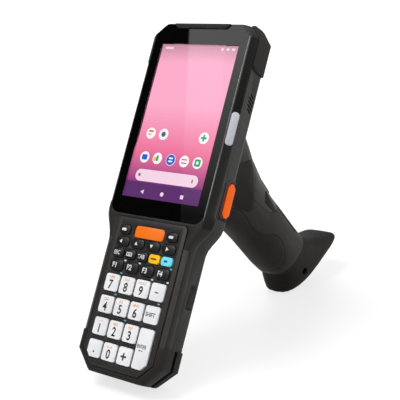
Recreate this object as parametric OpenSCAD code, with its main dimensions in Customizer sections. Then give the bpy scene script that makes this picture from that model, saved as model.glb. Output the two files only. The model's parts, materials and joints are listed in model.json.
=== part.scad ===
// Handheld barcode data terminal with a keypad and a pistol grip.
//
// Every piece is drawn in the terminal's own frame: origin at the centre of the display on the
// face of the cover glass, +x to the right, +y towards the scanning end, +z out of the display.
// standing() then sets the pieces up as the terminal stands on a table: on the edge of its bottom
// bumper and the heel of its grip, with +Z up, the display facing -Y and the grip behind it.

/* [Display] */
// Width of the lit part of the display
screen_w = 56.2; // [54:0.2:57]
// Height of the lit part of the display
screen_h = 93.6; // [90:0.2:94]
// Black border of the glass beside the lit part
border_side = 5.7; // [5:0.1:6]
// Black border of the glass above the lit part
border_top = 12.2; // [11:0.1:13]
// Black border of the glass below the lit part
border_bottom = 10.2; // [9:0.1:11]
// Thickness of the cover glass
glass_t = 1.2; // [0.8:0.1:1.4]
// Thickness of the display panel under the glass
panel_stack = 3.0; // [2:0.1:3.2]

/* [Head] */
// Width of the head's front chamfer beside the rim
head_side = 3.5; // [3:0.1:5.5]
// Depth of the head behind the face of the glass
head_depth = 26; // [25:0.5:30]
// Width of the housing's rim round the glass
rim_w = 0.7; // [0.5:0.1:0.9]
// Height of the rim over the glass
rim_h = 0.3; // [0.1:0.1:0.6]
// Corner cut at the scanning end
end_cut = 7; // [5:0.5:8]
// Outward step of the head over the keypad end
hip = 1; // [0.4:0.1:1.4]
// Length of the waist between head and keypad end
waist = 20; // [17:0.5:21]
// Thickness of the housing walls
wall = 2.4; // [1.8:0.1:2.6]

/* [Keypad end] */
// Width of the keypad end
keypad_w = 61; // [60.5:0.1:62]
// Depth of the keypad end behind the face of the glass
keypad_depth = 22; // [21.6:0.1:23]
// Height of the side rails over the glass
rail_h = 0.8; // [0.6:0.1:0.9]
// Width of the keypad bezel
bezel_w = 52; // [51:0.2:52.6]
// Height of the keypad bezel over the glass
bezel_h = 1.0; // [0.8:0.1:1.2]
// Thickness of the keypad bezel
bezel_t = 1.6; // [1.4:0.1:1.8]
// Dark groove round the keypad bezel
bezel_gap = 0.4; // [0.3:0.05:0.6]

/* [Keys] */
// Pitch of the number keys across
key_pitch_x = 11.3; // [11.2:0.05:11.5]
// Pitch of the number keys along
key_pitch_y = 12.65; // [12.3:0.05:12.7]
// Width of a number key
key_w = 10; // [9.6:0.1:10.1]
// Length of a number key
key_h = 9.8; // [9:0.1:10.2]
// Height of the key tops over the glass
key_top = 2.1; // [1.9:0.1:2.6]
// Travel of a key
key_travel = 0.8; // [0.5:0.1:0.9]
// Gap between a key and its hole in the bezel
key_gap = 0.3; // [0.25:0.05:0.35]
// Thickness of the silicone mat under the keys
mat_t = 1.2; // [0.8:0.1:1.4]

/* [Bumpers] */
// Stand-out of the bumpers from the housing
bumper_out = 0.8; // [0.5:0.1:1.2]
// Depth to which the bottom bumper grips round the housing
bumper_grip = 2.0; // [1.6:0.1:2.2]
// Corner cut of the bottom bumper
bumper_cut = 11; // [9:0.5:12]
// Width of the groove round the bottom bumper
groove_w = 2.6; // [1.4:0.1:3]
// Depth of the groove round the bottom bumper
groove_d = 1.7; // [0.8:0.1:1.9]

/* [Side keys and port] */
// Length of a side scan key
scan_key_l = 20; // [18:0.5:21]
// Height of a side scan key
scan_key_h = 7.4; // [6.6:0.1:7.6]
// Travel of a side scan key
scan_key_travel = 0.6; // [0.3:0.1:0.7]
// Length of the port cover
port_cover_l = 12.4; // [11:0.2:14]
// Height of the port cover
port_cover_h = 5.8; // [5:0.1:6]
// Thickness of the port cover
port_cover_t = 1.4; // [1:0.1:1.6]

/* [Battery] */
// Width of the battery pack
battery_w = 47; // [44:0.5:47.5]
// Length of the battery pack
battery_l = 42; // [38:0.5:43]
// Thickness of the battery pack
battery_t = 7.8; // [7:0.1:7.9]

/* [Grip] */
// Thickness of the grip shells
shell_t = 2.2; // [1.8:0.1:2.4]
// Scale of the grip's width
grip_fullness = 1; // [0.94:0.02:1.08]
// Thickness of the soft palm pad and front strap
pad_t = 1.3; // [1:0.1:1.4]
// Width of the trigger
trigger_w = 18; // [16:0.5:18.5]
// Radius of the trigger pin
pin_r = 1.5; // [1.2:0.1:1.8]
// Radial running clearance of the trigger on its pin
pin_fit = 0.05; // [0.02:0.01:0.1]
// Radius of the lanyard hole in the heel
lanyard_r = 2.5; // [2:0.1:2.8]

/* [Hidden] */
$fn = 48;
CHARCOAL = [0.17, 0.17, 0.18];
DARK = [0.11, 0.11, 0.12];
SOFT_BLACK = [0.08, 0.08, 0.09];
ORANGE = [1.0, 0.47, 0.12];
YELLOW = [0.98, 0.72, 0.12];
CYAN = [0.36, 0.78, 0.88];
WHITE = [0.93, 0.92, 0.95];
GREY = [0.74, 0.75, 0.82];
STEEL = [0.75, 0.76, 0.78];
BOARD = [0.08, 0.36, 0.20];

FIT = 0.15;     // gap round a piece that seats in a pocket
EPS = 0.02;     // overshoot of a cut past the face it opens

// Glass and head outline
glass_x = screen_w / 2 + border_side;
glass_top = screen_h / 2 + border_top;
glass_bottom = -screen_h / 2 - border_bottom;
glass_r = 6;
head_top = glass_top + 0.5;
rim_x = glass_x + rim_w;
head_x = rim_x + head_side;
side_z = -3.4;          // lower edge of the head's front chamfer
wall_z = -14.4;         // upper edge of the head's back chamfer
back_slope = 11;        // width of the head's back chamfer

// Lip over the glass at the scanning end
lip_h = 1.0;
lip_reach = 3.0;
lip_x0 = -18.5;
lip_x1 = 16.5;
lip_slant = 2.6;

// Keypad end outline
strip = 2;              // housing left between the glass and the bezel
bezel_top = glass_bottom - strip;
keypad_x = keypad_w / 2;
bezel_x = bezel_w / 2;
bezel_under = bezel_h - bezel_t;
rail_x = keypad_x - 2.1;
keypad_wall_z = -15.1;
keypad_back_x = keypad_x - 5.5;

// Rows of keys, counted down from the top edge of the bezel
soft_y = bezel_top - 7.3;
arrow_y = soft_y - 6.9;
small_y = arrow_y - 6.7;
function_y = small_y - 7.2;
number_y = function_y - 10.2;
bezel_bottom = number_y - 3 * key_pitch_y - key_h / 2 - 4.35;
bezel_cut = 8.5;
case_bottom = bezel_bottom - 3.5;
bumper_top = case_bottom + 22;

// Heights of the layers, measured from the face of the glass
part_z = -5;            // joint between front and back housing
key_r = 1.5;            // corner radius of the number keys
small_key_r = 1.8;      // corner radius of the low keys
small_key_h = 8;        // length under which a key counts as low
flange_over = 0.35;     // overhang of a key's flange under the bezel
flange_t = 0.8;
flange_z = bezel_under - 0.15;
mat_z = flange_z - flange_t - key_travel - 0.15;
well_x = 2 * key_pitch_x + 2;
board_z = -6;
board_t = 1.6;
board_gap = 0.5;
bay_z = -12.4;          // ceiling of the battery bay
bay_wall_z = -15.2;     // edge of the battery cover on the side walls

// Body sections as [front x, front z, side x, side z, wall z, back x, back z]
HEAD = [rim_x, rim_h, head_x, side_z, wall_z, head_x - back_slope, -head_depth];
HIP = HEAD + [0, 0, hip, -0.3, 0.3, hip, 0];
KEYPAD = [rail_x, rail_h, keypad_x, -1.6, keypad_wall_z, keypad_back_x, -keypad_depth];
BUMPER = KEYPAD + bumper_out * [0.6, 0.25, 1, 0.25, -0.4, 0.8, -0.75];
corner_softness = 1.6;
side_haste = 1.2;       // how much sooner the sides reach the keypad end than the front

// Battery cover
cover_top = bezel_top - 16.5;
cover_bottom = bumper_top + 2;
cover_t = 1.4;
battery_y = (cover_top + cover_bottom) / 2;
hook_r = 1.2;
hook_y = cover_bottom + 0.4;
hook_z = -keypad_depth + 1.4;
hook_l = 44;
hook_gap = 0.5;
cover_swing_gap = 0.45; // gap at the cover's upper end, which swings out in an arc
latch_w = 16;
latch_l = 7;
latch_travel = 2;
latch_y = cover_top - 7;
latch_z = -keypad_depth + 1;

// Side keys
scan_key_y = -39.5;
scan_key_z = -12;
scan_key_cut = 2.4;
scan_key_out = 0.9;
scan_flange_x = head_x - wall - 1.2;
side_key_l = 19;
side_key_w = 4.4;
side_key_y = -1;
side_key_depth = 1.2;
side_key_r = 1.9;
side_key_gap = 0.25;
side_key_step = 0.4;    // how far the raised middle of the side key keeps from its edge
side_key_out = 0.5;
side_key_travel = 0.4;
chamfer_angle = atan2(head_x - rim_x, rim_h - side_z);
chamfer_mid = [(head_x + rim_x) / 2, side_key_y, (rim_h + side_z) / 2];

// Port cover
port_y = -101.4;        // hinge of the port cover
port_z = -11.6;

// Screws that hold the housing and the grip
screw_r = 1.2;
screw_fit = 0.05;
screw_head_r = 2.2;
screw_head_t = 1.6;
waist_top = bezel_top + 4;
housing_screw_places = [for (x = [-1, 1], y = [head_top - 7.5, waist_top + 6]) [x * (head_x - 5.8), y]];
grip_screw_x = 11;
grip_screw_front_y = 14;
grip_screw_rear_y = -36;
boss_r = 3;

// Scanning end
window_w = 30;
window_h = 8.4;
window_z = -14.8;

// Grip stations from the terminal's back to the foot, as
// [front y, front z, rear y, rear z, half width]
GRIP = [
    [34, -head_depth, -50, -head_depth, 23],
    [26, -34, -48, -33, 19.5],
    [16.5, -46, -47, -43, 17],
    [7.5, -57.8, -46.6, -53.4, 16],
    [-1.7, -68, -47.2, -64.5, 15.6],
    [-9.5, -80, -48.5, -76.5, 15.8],
    [-15.5, -94, -51.5, -88, 16],
    [-20.7, -110, -55.9, -101, 16],
    [-26.2, -126, -60.1, -113.5, 15.8],
    [-31, -141.5, -63.3, -126, 15.5]
];
// Foot stations, from the end of the grip to the sole
FOOT = [
    GRIP[len(GRIP) - 1],
    [-32, -148, -62.5, -131.6, 15.6],
    [-30, -158, -67.2, -134.9, 15.9],
    [-25.5, -169.5, -71, -137.7, 16],
    [-21.8, -177.5, -72.8, -139.6, 16],
    [-21.2, -179.5, -72.7, -141.6, 15.4]
];
grip_square = 2.4;      // exponent of the grip's oval sections
sole_square = 5;        // exponent of the foot's sections at the sole
heel_square = 2.6;      // exponent of the heel's rounded end at the sole
ring_points = 28;
seam = 0.3;             // gap between the pieces of the grip's skin

// Spine of the grip, trigger and pin
spine_half = 7;
spine_x = 8;
spine_reach = 8;        // length of the spine inside the foot
foot_screw_l = 24;
foot_screw_depth = 21.3;
base_t = 3.5;
grip_screw_seat = head_depth + base_t;  // depth behind the glass at which the heads of its screws end
base_x = 16;
base_rear_y = -44;
base_l = 64;
block_x = 12;
block_z = -59;
block_rear_y = -42;
ear_t = 2;
ear_r = 3.4;
ear_gap = 0.4;
pin_y = -15.5;
pin_z = -70.5;
trigger_x = trigger_w / 2;
trigger_top = -67.8;
trigger_bottom = -91.2;
trigger_rear = -19.2;
trigger_gap = 0.4;      // gap between the trigger's top and the spine as it swings
trigger_reach = norm([trigger_rear - pin_y, trigger_top - pin_z]);
ear_x = trigger_x + ear_gap + ear_t;
spring_x = 3;
spring_foot = [-26.2, -89.4];
spring_foot_h = 1.8;
lanyard_y = -55.3;
lanyard_z = -145.3;

// Lean of the standing terminal: its bumper edge and the heel of its sole touch the table
end_section = narrowed(BUMPER, bumper_cut, 1.2, 4);
heel = FOOT[len(FOOT) - 1];
lean = atan2(heel[2] - case_bottom, end_section[6] - heel[3]);
table_h = case_bottom * cos(lean) + end_section[6] * sin(lean);
depth_points = [for (ring = concat(bumper_rings(0), foot_rings(0)), p = ring)
    p[1] * sin(lean) - p[2] * cos(lean)];
depth_mid = (min(depth_points) + max(depth_points)) / 2;

// [name, x, y, width, length, colour, corner that is cut off: -1 left, 1 right, 0 none]
left_x = -1.5 * key_pitch_x;
function column(i) = left_x + i * key_pitch_x;
function number_row(i) = number_y - i * key_pitch_y;
KEYS = concat(
    [
        ["key_soft_left", -17.3, soft_y, 7.6, 5, DARK, 0],
        ["key_scan", 0, soft_y, 21.4, 6.7, ORANGE, 0],
        ["key_soft_right", 17.3, soft_y, 7.6, 5, DARK, 0]
    ],
    key_row(["key_left", "key_up", "key_down", "key_right"], arrow_y, 9.4, 5, DARK),
    [
        ["key_escape", -18, small_y, 7.8, 5, DARK, 0],
        ["key_display", -9, small_y, 7.8, 5, DARK, 0],
        ["key_tab", 0, small_y, 7.8, 5, DARK, 0],
        ["key_yellow", 9, small_y, 7.8, 5, YELLOW, 0],
        ["key_cyan", 18, small_y, 7.8, 5, CYAN, 0]
    ],
    key_row(["key_f1", "key_f2", "key_f3", "key_f4"], function_y, 9.4, 5.7, DARK),
    key_row(["key_7", "key_8", "key_9", "key_minus"], number_row(0), key_w, key_h, WHITE),
    key_row(["key_4", "key_5", "key_6", "key_shift"], number_row(1), key_w, key_h, WHITE),
    key_row(["key_1", "key_2", "key_3"], number_row(2), key_w, key_h, WHITE),
    [
        ["key_enter", column(3), number_row(2.5), key_w, key_h + key_pitch_y, WHITE, 1],
        ["key_point", column(0), number_row(3), key_w, key_h, WHITE, -1],
        ["key_0", column(1), number_row(3), key_w, key_h, WHITE, 0],
        ["key_plus", column(2), number_row(3), key_w, key_h, WHITE, 0]
    ]
);
function key_row(names, y, w, h, colour) =
    [for (i = [0 : len(names) - 1]) [names[i], column(i), y, w, h, colour, 0]];

// ---------------------------------------------------------------- helpers

// Sets a piece up in the standing frame
module standing() {
    translate([0, -depth_mid, -table_h]) rotate([90 - lean, 0, 0]) children();
}

// Points of a corner b between a and c, rounded with a setback of at most r
function corner(a, b, c, r, steps) =
    let (
        s = min(r, 0.45 * min(norm(a - b), norm(c - b))),
        p = b + s * (a - b) / norm(a - b),
        q = b + s * (c - b) / norm(c - b)
    )
    [for (i = [0 : steps]) let (t = i / steps) (1 - t) * (1 - t) * p + 2 * t * (1 - t) * b + t * t * q];

function softened(points, r, steps = 3) =
    let (n = len(points))
    [for (i = [0 : n - 1]) each corner(points[(i + n - 1) % n], points[i], points[(i + 1) % n], r, steps)];

// Closed solid through rings that all have the same number of points
module loft(rings) {
    n = len(rings[0]);
    top = len(rings) - 1;
    points = [for (ring = rings, p = ring) p];
    sides = [for (k = [0 : top - 1], i = [0 : n - 1])
        let (j = (i + 1) % n)
        each [
            [k * n + i, k * n + j, (k + 1) * n + j],
            [k * n + i, (k + 1) * n + j, (k + 1) * n + i]
        ]];
    first_cap = [for (i = [0 : n - 1]) n - 1 - i];
    last_cap = [for (i = [0 : n - 1]) top * n + i];
    polyhedron(points = points, faces = concat([first_cap], sides, [last_cap]));
}

// Rectangle with true arcs at its corners
module plate_outline(w, h, r) {
    square([w - 2 * r, h], center = true);
    square([w, h - 2 * r], center = true);
    for (x = [-1, 1], y = [-1, 1]) translate([x * (w / 2 - r), y * (h / 2 - r)]) circle(r);
}

// Rectangle with its four corners cut off
function cut_rectangle(w, h, c) = [
    [w / 2, -h / 2 + c], [w / 2, h / 2 - c], [w / 2 - c, h / 2], [-w / 2 + c, h / 2],
    [-w / 2, h / 2 - c], [-w / 2, -h / 2 + c], [-w / 2 + c, -h / 2], [w / 2 - c, -h / 2]
];

// Extrudes an outline drawn in (y, z) to both sides of the middle plane
module across(half, from = undef) {
    x0 = is_undef(from) ? -half : from;
    translate([x0, 0, 0]) rotate([90, 0, 90]) linear_extrude(half - x0) children();
}

// Slab between two heights, wide enough for the whole terminal
module slab(z0, z1) {
    translate([-60, -180, z0]) cube([120, 260, z1 - z0]);
}

// ---------------------------------------------------------------- body sections

function mixed(a, b, t) = a * (1 - t) + b * t;
function smooth(t) = t * t * (3 - 2 * t);

// A body section with its sides moved in by dx, its front by df and its back by db
function narrowed(s, dx, df, db) = s + [-dx, -df, -dx, -0.4 * df, 0.4 * db, -dx, db];

function section_ring(s, y) = [for (p = softened([
    [s[0], s[1]], [s[2], s[3]], [s[2], s[4]], [s[5], s[6]],
    [-s[5], s[6]], [-s[2], s[4]], [-s[2], s[3]], [-s[0], s[1]]
], corner_softness)) [p[0], y, p[1]]];

core = narrowed(KEYPAD, bumper_grip, rail_h - bezel_under, bumper_grip);

// Rings of the head and of the whole housing, moved out by grow
function head_rings(grow) = [
    section_ring(grown(narrowed(HEAD, end_cut, 0.9, 4), grow), head_top + grow),
    section_ring(grown(narrowed(HEAD, end_cut - 1.2, 0.2, 1.5), grow), head_top - 1.2 + grow),
    section_ring(grown(HEAD, grow), head_top - end_cut),
    section_ring(grown(HEAD, grow), waist_top + 5)
];
function body_rings(grow) = concat(head_rings(grow), [
    section_ring(grown(HIP, grow), waist_top + 3.6),
    for (i = [0 : 6]) section_ring(grown(waist_section(i / 6), grow), waist_top - i * waist / 6),
    section_ring(grown(KEYPAD, grow), bumper_top),
    section_ring(grown(core, grow), bumper_top - 0.4),
    section_ring(grown(core, grow), case_bottom + bumper_cut + 1.4),
    section_ring(grown(narrowed(core, bumper_cut, 0, 1.6), grow), case_bottom + bumper_grip + 0.4)
]);
function grown(s, g) = s + g * [0.6, 0.4, 1, 0.4, -0.4, 0.8, -1];

// Section along the waist, where the sides narrow sooner than the front rails
function waist_section(t) =
    let (front = smooth(t), side = smooth(min(1, side_haste * t)))
    [for (j = [0 : 6]) mixed(HIP[j], KEYPAD[j], j < 2 ? front : side)];

module body() {
    loft(body_rings(0));
}

function bumper_rings(inset) = [
    section_ring(grown(BUMPER, -inset), bumper_top),
    section_ring(grown(BUMPER, -inset), case_bottom + bumper_cut),
    section_ring(grown(narrowed(BUMPER, bumper_cut - 1, 0.4, 1.5), -inset), case_bottom + 1 + inset),
    section_ring(grown(end_section, -inset), case_bottom + inset)
];

// Outline of the inside of the housing, moved in by gap
function inner_outline(gap) =
    let (
        hx = head_x - wall - gap,
        kx = keypad_x - wall - 0.3 - gap,
        cx = core[2] - wall - gap,
        top = head_top - wall - 0.2 - gap,
        cut = end_cut - 1,
        end = case_bottom + bumper_grip + wall + gap
    )
    [
        [hx, waist_top + 3], [hx, top - cut], [hx - cut, top], [-hx + cut, top], [-hx, top - cut],
        [-hx, waist_top + 3], [-kx, waist_top - waist + 1], [-kx, bumper_top + 2], [-cx, bumper_top + 1],
        [-cx, end + bumper_cut - 1], [-cx + bumper_cut - 1, end], [cx - bumper_cut + 1, end],
        [cx, end + bumper_cut - 1], [cx, bumper_top + 1], [kx, bumper_top + 2],
        [kx, waist_top - waist + 1]
    ];

// ---------------------------------------------------------------- display

// Glass outline with cut top corners, round bottom corners and the notch under the lip
module glass_outline(gap = 0) {
    x = glass_x + gap;
    top = glass_top + gap;
    bottom = glass_bottom - gap;
    cut = end_cut - 0.6;
    r = glass_r + gap;
    difference() {
        union() {
            polygon([[x, bottom + r], [x, top - cut], [x - cut, top], [-x + cut, top], [-x, top - cut], [-x, bottom + r]]);
            translate([-x + r, bottom]) square([2 * (x - r), r + 1]);
            for (s = [-1, 1]) translate([s * (x - r), bottom + r]) circle(r);
        }
        polygon(lip_points(FIT - gap));
    }
}

// Lip outline, moved out by gap
function lip_points(gap) = [
    [lip_x0 - lip_slant - gap, head_top + 2], [lip_x0 - lip_slant - gap, head_top - 0.6],
    [lip_x0 - gap, head_top - lip_reach - gap], [lip_x1 + gap, head_top - lip_reach - gap],
    [lip_x1 + lip_slant + gap, head_top - 0.6], [lip_x1 + lip_slant + gap, head_top + 2]
];

module cover_glass() standing() color(SOFT_BLACK)
    translate([0, 0, -glass_t]) linear_extrude(glass_t) glass_outline();

module display_panel() standing() color([0.55, 0.2, 0.45])
    translate([0, 0, -glass_t - panel_stack]) linear_extrude(panel_stack)
        plate_outline(screen_w + 4, screen_h + 6, 1);

// ---------------------------------------------------------------- housings

module bezel_outline(gap = 0) {
    x = bezel_x + gap;
    top = bezel_top + gap;
    bottom = bezel_bottom - gap;
    r = 3 + gap;
    polygon([[x, bottom + bezel_cut], [x, top - r], [-x, top - r], [-x, bottom + bezel_cut],
        [-x + bezel_cut, bottom], [x - bezel_cut, bottom]]);
    translate([-x + r, top - r - 1]) square([2 * (x - r), r + 1]);
    for (s = [-1, 1]) translate([s * (x - r), top - r]) circle(r);
}

// Room under the bezel for the key flanges and the mat
module well_outline(gap = 0) {
    x = well_x + 0.1 - gap;
    top = bezel_top - 2.2 - gap;
    bottom = bezel_bottom + 2.2 + gap;
    cut = bezel_cut - 2.1;
    polygon([[x, bottom + cut], [x, top], [-x, top], [-x, bottom + cut], [-x + cut, bottom], [x - cut, bottom]]);
}

// Side view outline of a side scan key, moved out by gap
module scan_key_outline(gap) {
    translate([scan_key_y, scan_key_z])
        polygon(cut_rectangle(scan_key_l + 2 * gap, scan_key_h + 2 * gap, scan_key_cut + 0.4 * gap));
}

// Local frame on the head's right front chamfer, +z out of it
module on_chamfer() {
    translate(chamfer_mid) rotate([0, chamfer_angle, 0]) translate([0.35, 0, 0]) children();
}

module front_housing() standing() color(CHARCOAL) difference() {
    union() {
        intersection() {
            body();
            slab(part_z, 5);
        }
        intersection() {
            translate([0, 0, -glass_t - FIT]) linear_extrude(lip_h + glass_t + FIT) polygon(lip_points(0));
            translate([-40, 0, -10]) cube([80, head_top - 0.3, 20]);
        }
    }
    translate([0, 0, -glass_t - EPS]) linear_extrude(10) glass_outline(FIT);
    translate([0, 0, part_z - 1]) linear_extrude(1 - part_z - glass_t)
        plate_outline(screen_w + 4 + 2 * FIT, screen_h + 6 + 2 * FIT, 1);
    translate([0, 0, bezel_under]) linear_extrude(10) bezel_outline(bezel_gap);
    translate([0, 0, part_z - 1]) linear_extrude(1 - part_z + bezel_under + EPS) well_outline();
    on_chamfer() translate([0, 0, -side_key_depth - side_key_travel - 0.1]) linear_extrude(5)
        plate_outline(side_key_w + 2 * side_key_gap, side_key_l + 2 * side_key_gap, side_key_r + side_key_gap);
    for (p = housing_screw_places) translate([p[0], p[1], part_z - 1]) cylinder(r = screw_r + screw_fit, h = 4);
}

// Slanted sound slots in the right side wall
module sound_slots() {
    for (i = [0 : 4])
        translate([head_x - wall - 1, 12.2 + 2.1 * i, -10.4]) rotate([-28, 0, 0]) rotate([0, 90, 0])
            linear_extrude(wall + 3) plate_outline(i == 0 || i == 4 ? 4.2 : 6, 1, 0.49);
}

module back_housing() standing() color(CHARCOAL) difference() {
    union() {
        intersection() {
            body();
            slab(-40, part_z);
        }
        for (s = [0, 1]) mirror([s, 0, 0]) key_surround();
    }
    // hollow of the head and of the keypad end
    difference() {
        translate([0, 0, -head_depth + wall]) linear_extrude(head_depth) intersection() {
            polygon(inner_outline(0));
            translate([-head_x, waist_top - 2]) square([2 * head_x, head_top - waist_top]);
        }
        for (s = [0, 1]) mirror([s, 0, 0]) translate([HEAD[5] + 2, -100, -head_depth])
            cube([20, 200, head_depth + wall_z]);
        for (p = grip_screw_places()) translate([p[0], p[1], -head_depth]) cylinder(r = boss_r, h = 10);
        for (p = housing_screw_places) translate([p[0], p[1], -head_depth])
            cylinder(r = boss_r, h = head_depth + part_z);
    }
    translate([0, 0, bay_z + 2]) linear_extrude(20) polygon(inner_outline(0));
    // battery bay and the room for its cover
    translate([-battery_w / 2 - 0.4, battery_y - battery_l / 2 - 0.4, -60])
        cube([battery_w + 0.8, battery_l + 0.8, 60 + bay_z]);
    translate([-60, cover_bottom, -60]) cube([120, cover_top - cover_bottom, 60 + bay_wall_z]);
    translate([0, hook_y, hook_z]) rotate([0, 90, 0])
        cylinder(r = hook_r + hook_gap, h = 2 * (keypad_back_x + 1.5), center = true);
    translate([-4.4, cover_top - 1, -60]) cube([8.8, 2.6, 60 - keypad_depth + 2]);
    // scanning window
    translate([0, head_top - 2, window_z]) rotate([-90, 0, 0]) linear_extrude(10)
        plate_outline(window_w + 2 * FIT, window_h + 2 * FIT, 2);
    translate([-window_w / 2 + 2, head_top - 8, window_z - window_h / 2 + 1]) cube([window_w - 4, 10, window_h - 2]);
    // side scan keys
    for (s = [0, 1]) mirror([s, 0, 0]) {
        across(head_x + 3, head_x - wall - 3) scan_key_outline(0.25);
        across(head_x - wall + 0.1, scan_flange_x - scan_key_travel - 0.2) scan_key_outline(1.1);
    }
    sound_slots();
    port_room();
    for (p = housing_screw_places) translate([p[0], p[1], -60]) {
        cylinder(r = screw_r + screw_fit, h = 60);
        cylinder(r = screw_head_r + 0.2, h = 60 + wall_z - 2.6);
    }
    for (p = grip_screw_places()) translate([p[0], p[1], -head_depth - 1]) cylinder(r = screw_r + screw_fit, h = 9);
}

// Raised frame round the right side scan key
module key_surround() {
    intersection() {
        across(head_x + 0.4, head_x - wall) difference() {
            scan_key_outline(1.7);
            scan_key_outline(0.25);
        }
        loft(head_rings(0.5));
    }
}

// Recess for the port cover and the way to the socket behind it
module port_room() {
    gap = 0.25;
    x = keypad_x - port_cover_t;
    translate([0, 0, port_z - port_cover_h / 2 - gap]) linear_extrude(port_cover_h + 2 * gap) {
        translate([x - gap, port_y]) square([10, port_cover_l + gap]);
        translate([x + port_cover_t / 2, port_y]) circle(port_cover_t / 2 + gap);
        translate([x + port_cover_t / 2, port_y - port_cover_t / 2 - gap]) square([10, 2]);
    }
    translate([battery_w / 2 + 0.6, port_y + port_cover_l / 2 - 4.8, port_z - 1.9]) cube([10, 9.6, 3.8]);
    translate([battery_w / 2 + 0.6, port_y + port_cover_l / 2 - 4.8, port_z]) cube([x - battery_w / 2 - 1.6, 9.6, 6]);
}

// ---------------------------------------------------------------- keypad

module keypad_bezel() standing() color(CHARCOAL) difference() {
    translate([0, 0, bezel_under]) linear_extrude(bezel_t) bezel_outline();
    for (k = KEYS) translate([k[1], k[2], bezel_under - 1]) linear_extrude(bezel_t + 2)
        key_outline(k[3], k[4], k[6], key_gap);
}

module keypad_mat() standing() color(GREY)
    translate([0, 0, mat_z - mat_t]) linear_extrude(mat_t) well_outline(0.2);

// Outline of a key, moved out by gap, with one lower corner cut off where side is not 0
module key_outline(w, h, side, gap = 0) {
    r = (h < small_key_h ? small_key_r : key_r) + gap;
    difference() {
        plate_outline(w + 2 * gap, h + 2 * gap, r);
        if (side != 0) translate([side * (w / 2 + gap), -h / 2 - gap]) rotate([0, 0, 45])
            square((side < 0 ? 4 : 5) - gap / 2, center = true);
    }
}

module key(k) standing() color(k[5]) translate([k[1], k[2], 0]) {
    crown_r = 34;
    translate([0, 0, flange_z - flange_t]) linear_extrude(flange_t + EPS) key_outline(k[3], k[4], k[6], flange_over);
    intersection() {
        translate([0, 0, flange_z]) linear_extrude(10) key_outline(k[3], k[4], k[6]);
        translate([0, 0, key_top - crown_r]) rotate([90, 0, 0]) cylinder(r = crown_r, h = 60, center = true, $fn = 180);
    }
}

// ---------------------------------------------------------------- inside of the terminal

module main_board() standing() color(BOARD) {
    socket_y = port_y + port_cover_l / 2;
    translate([0, 0, board_z - board_t]) linear_extrude(board_t) difference() {
        polygon(inner_outline(board_gap));
        for (p = housing_screw_places) translate([p[0], p[1]]) circle(4);
        for (s = [-1, 1]) translate([s * head_x, scan_key_y]) square([12, scan_key_l + 6], center = true);
    }
    socket_x = battery_w / 2 + 0.8;
    socket_l = keypad_x - port_cover_t - 0.4 - socket_x;
    color(STEEL) difference() {
        translate([socket_x, socket_y - 4.6, port_z - 1.7]) cube([socket_l, 9.2, 3.4]);
        translate([socket_x + 0.8, socket_y - 4.2, port_z - 1.3]) cube([10, 8.4, 2.6]);
    }
    translate([socket_x, socket_y - 4.2, port_z + 1.7 - EPS])
        cube([0.6 * socket_l, 8.4, board_z - board_t - port_z - 1.7 + 2 * EPS]);
}

module scan_window() standing() color([0.35, 0.05, 0.08])
    translate([0, head_top - 2 + FIT, window_z]) rotate([-90, 0, 0]) linear_extrude(1.5)
        plate_outline(window_w, window_h, 2);

module scan_engine() standing() color(DARK)
    translate([-12, head_top - 15, window_z - 4]) cube([24, 11.6, 8]);

module battery_pack() standing() color([0.12, 0.14, 0.2])
    translate([-battery_w / 2, battery_y - battery_l / 2, bay_z - battery_t]) cube([battery_w, battery_l, battery_t]);

// ---------------------------------------------------------------- bumpers

module corner_bumpers() standing() color(SOFT_BLACK) difference() {
    loft(head_rings(bumper_out + 0.4));
    loft(head_rings(0));
    difference() {
        translate([-100, -200, -100]) cube([200, 300, 200]);
        for (s = [0, 1]) mirror([s, 0, 0])
            across(60, head_x - end_cut - 1) polygon([
                [head_top - 25, -5.6], [head_top - 23, -4], [head_top - 6, -4], [head_top + 3, -5.4],
                [head_top + 3, -13], [head_top - 9, -18.5], [head_top - 23, -18.5], [head_top - 26, -15]
            ]);
    }
    for (p = housing_screw_places) translate([p[0], p[1], -60]) cylinder(r = screw_head_r + 0.4, h = 60 + wall_z);
}

module bottom_bumper() standing() color(SOFT_BLACK) difference() {
    loft(bumper_rings(0));
    body();
    translate([0, 0, bezel_under]) linear_extrude(20) bezel_outline(bezel_gap);
    difference() {
        slab(-9.4 - groove_w / 2, -9.4 + groove_w / 2);
        loft(bumper_rings(groove_d));
    }
}

// ---------------------------------------------------------------- side keys and port cover

module side_key() standing() color(GREY) on_chamfer() {
    translate([0, 0, -side_key_depth]) linear_extrude(side_key_depth + side_key_out)
        plate_outline(side_key_w, side_key_l, side_key_r);
    translate([0, 0, side_key_out - EPS]) linear_extrude(0.3)
        plate_outline(side_key_w - 2 * side_key_step, side_key_l - 2 * side_key_step, side_key_r - side_key_step);
}

module scan_key() {
    across(head_x + scan_key_out, head_x - wall - 0.6) scan_key_outline(0);
    across(head_x - wall - 0.3, scan_flange_x) scan_key_outline(0.8);
}

module scan_key_right() standing() color(ORANGE) scan_key();
module scan_key_left() standing() color(ORANGE) mirror([1, 0, 0]) scan_key();

module port_cover() standing() color(SOFT_BLACK)
    translate([keypad_x - port_cover_t, 0, port_z - port_cover_h / 2]) {
        linear_extrude(port_cover_h) {
            translate([0, port_y]) square([port_cover_t, port_cover_l]);
            translate([port_cover_t / 2, port_y]) circle(port_cover_t / 2);
        }
        // finger ridge
        translate([port_cover_t - EPS, port_y + port_cover_l - 1.6, 1]) cube([0.35, 0.8, port_cover_h - 2]);
    }

// ---------------------------------------------------------------- battery cover and latch

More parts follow.
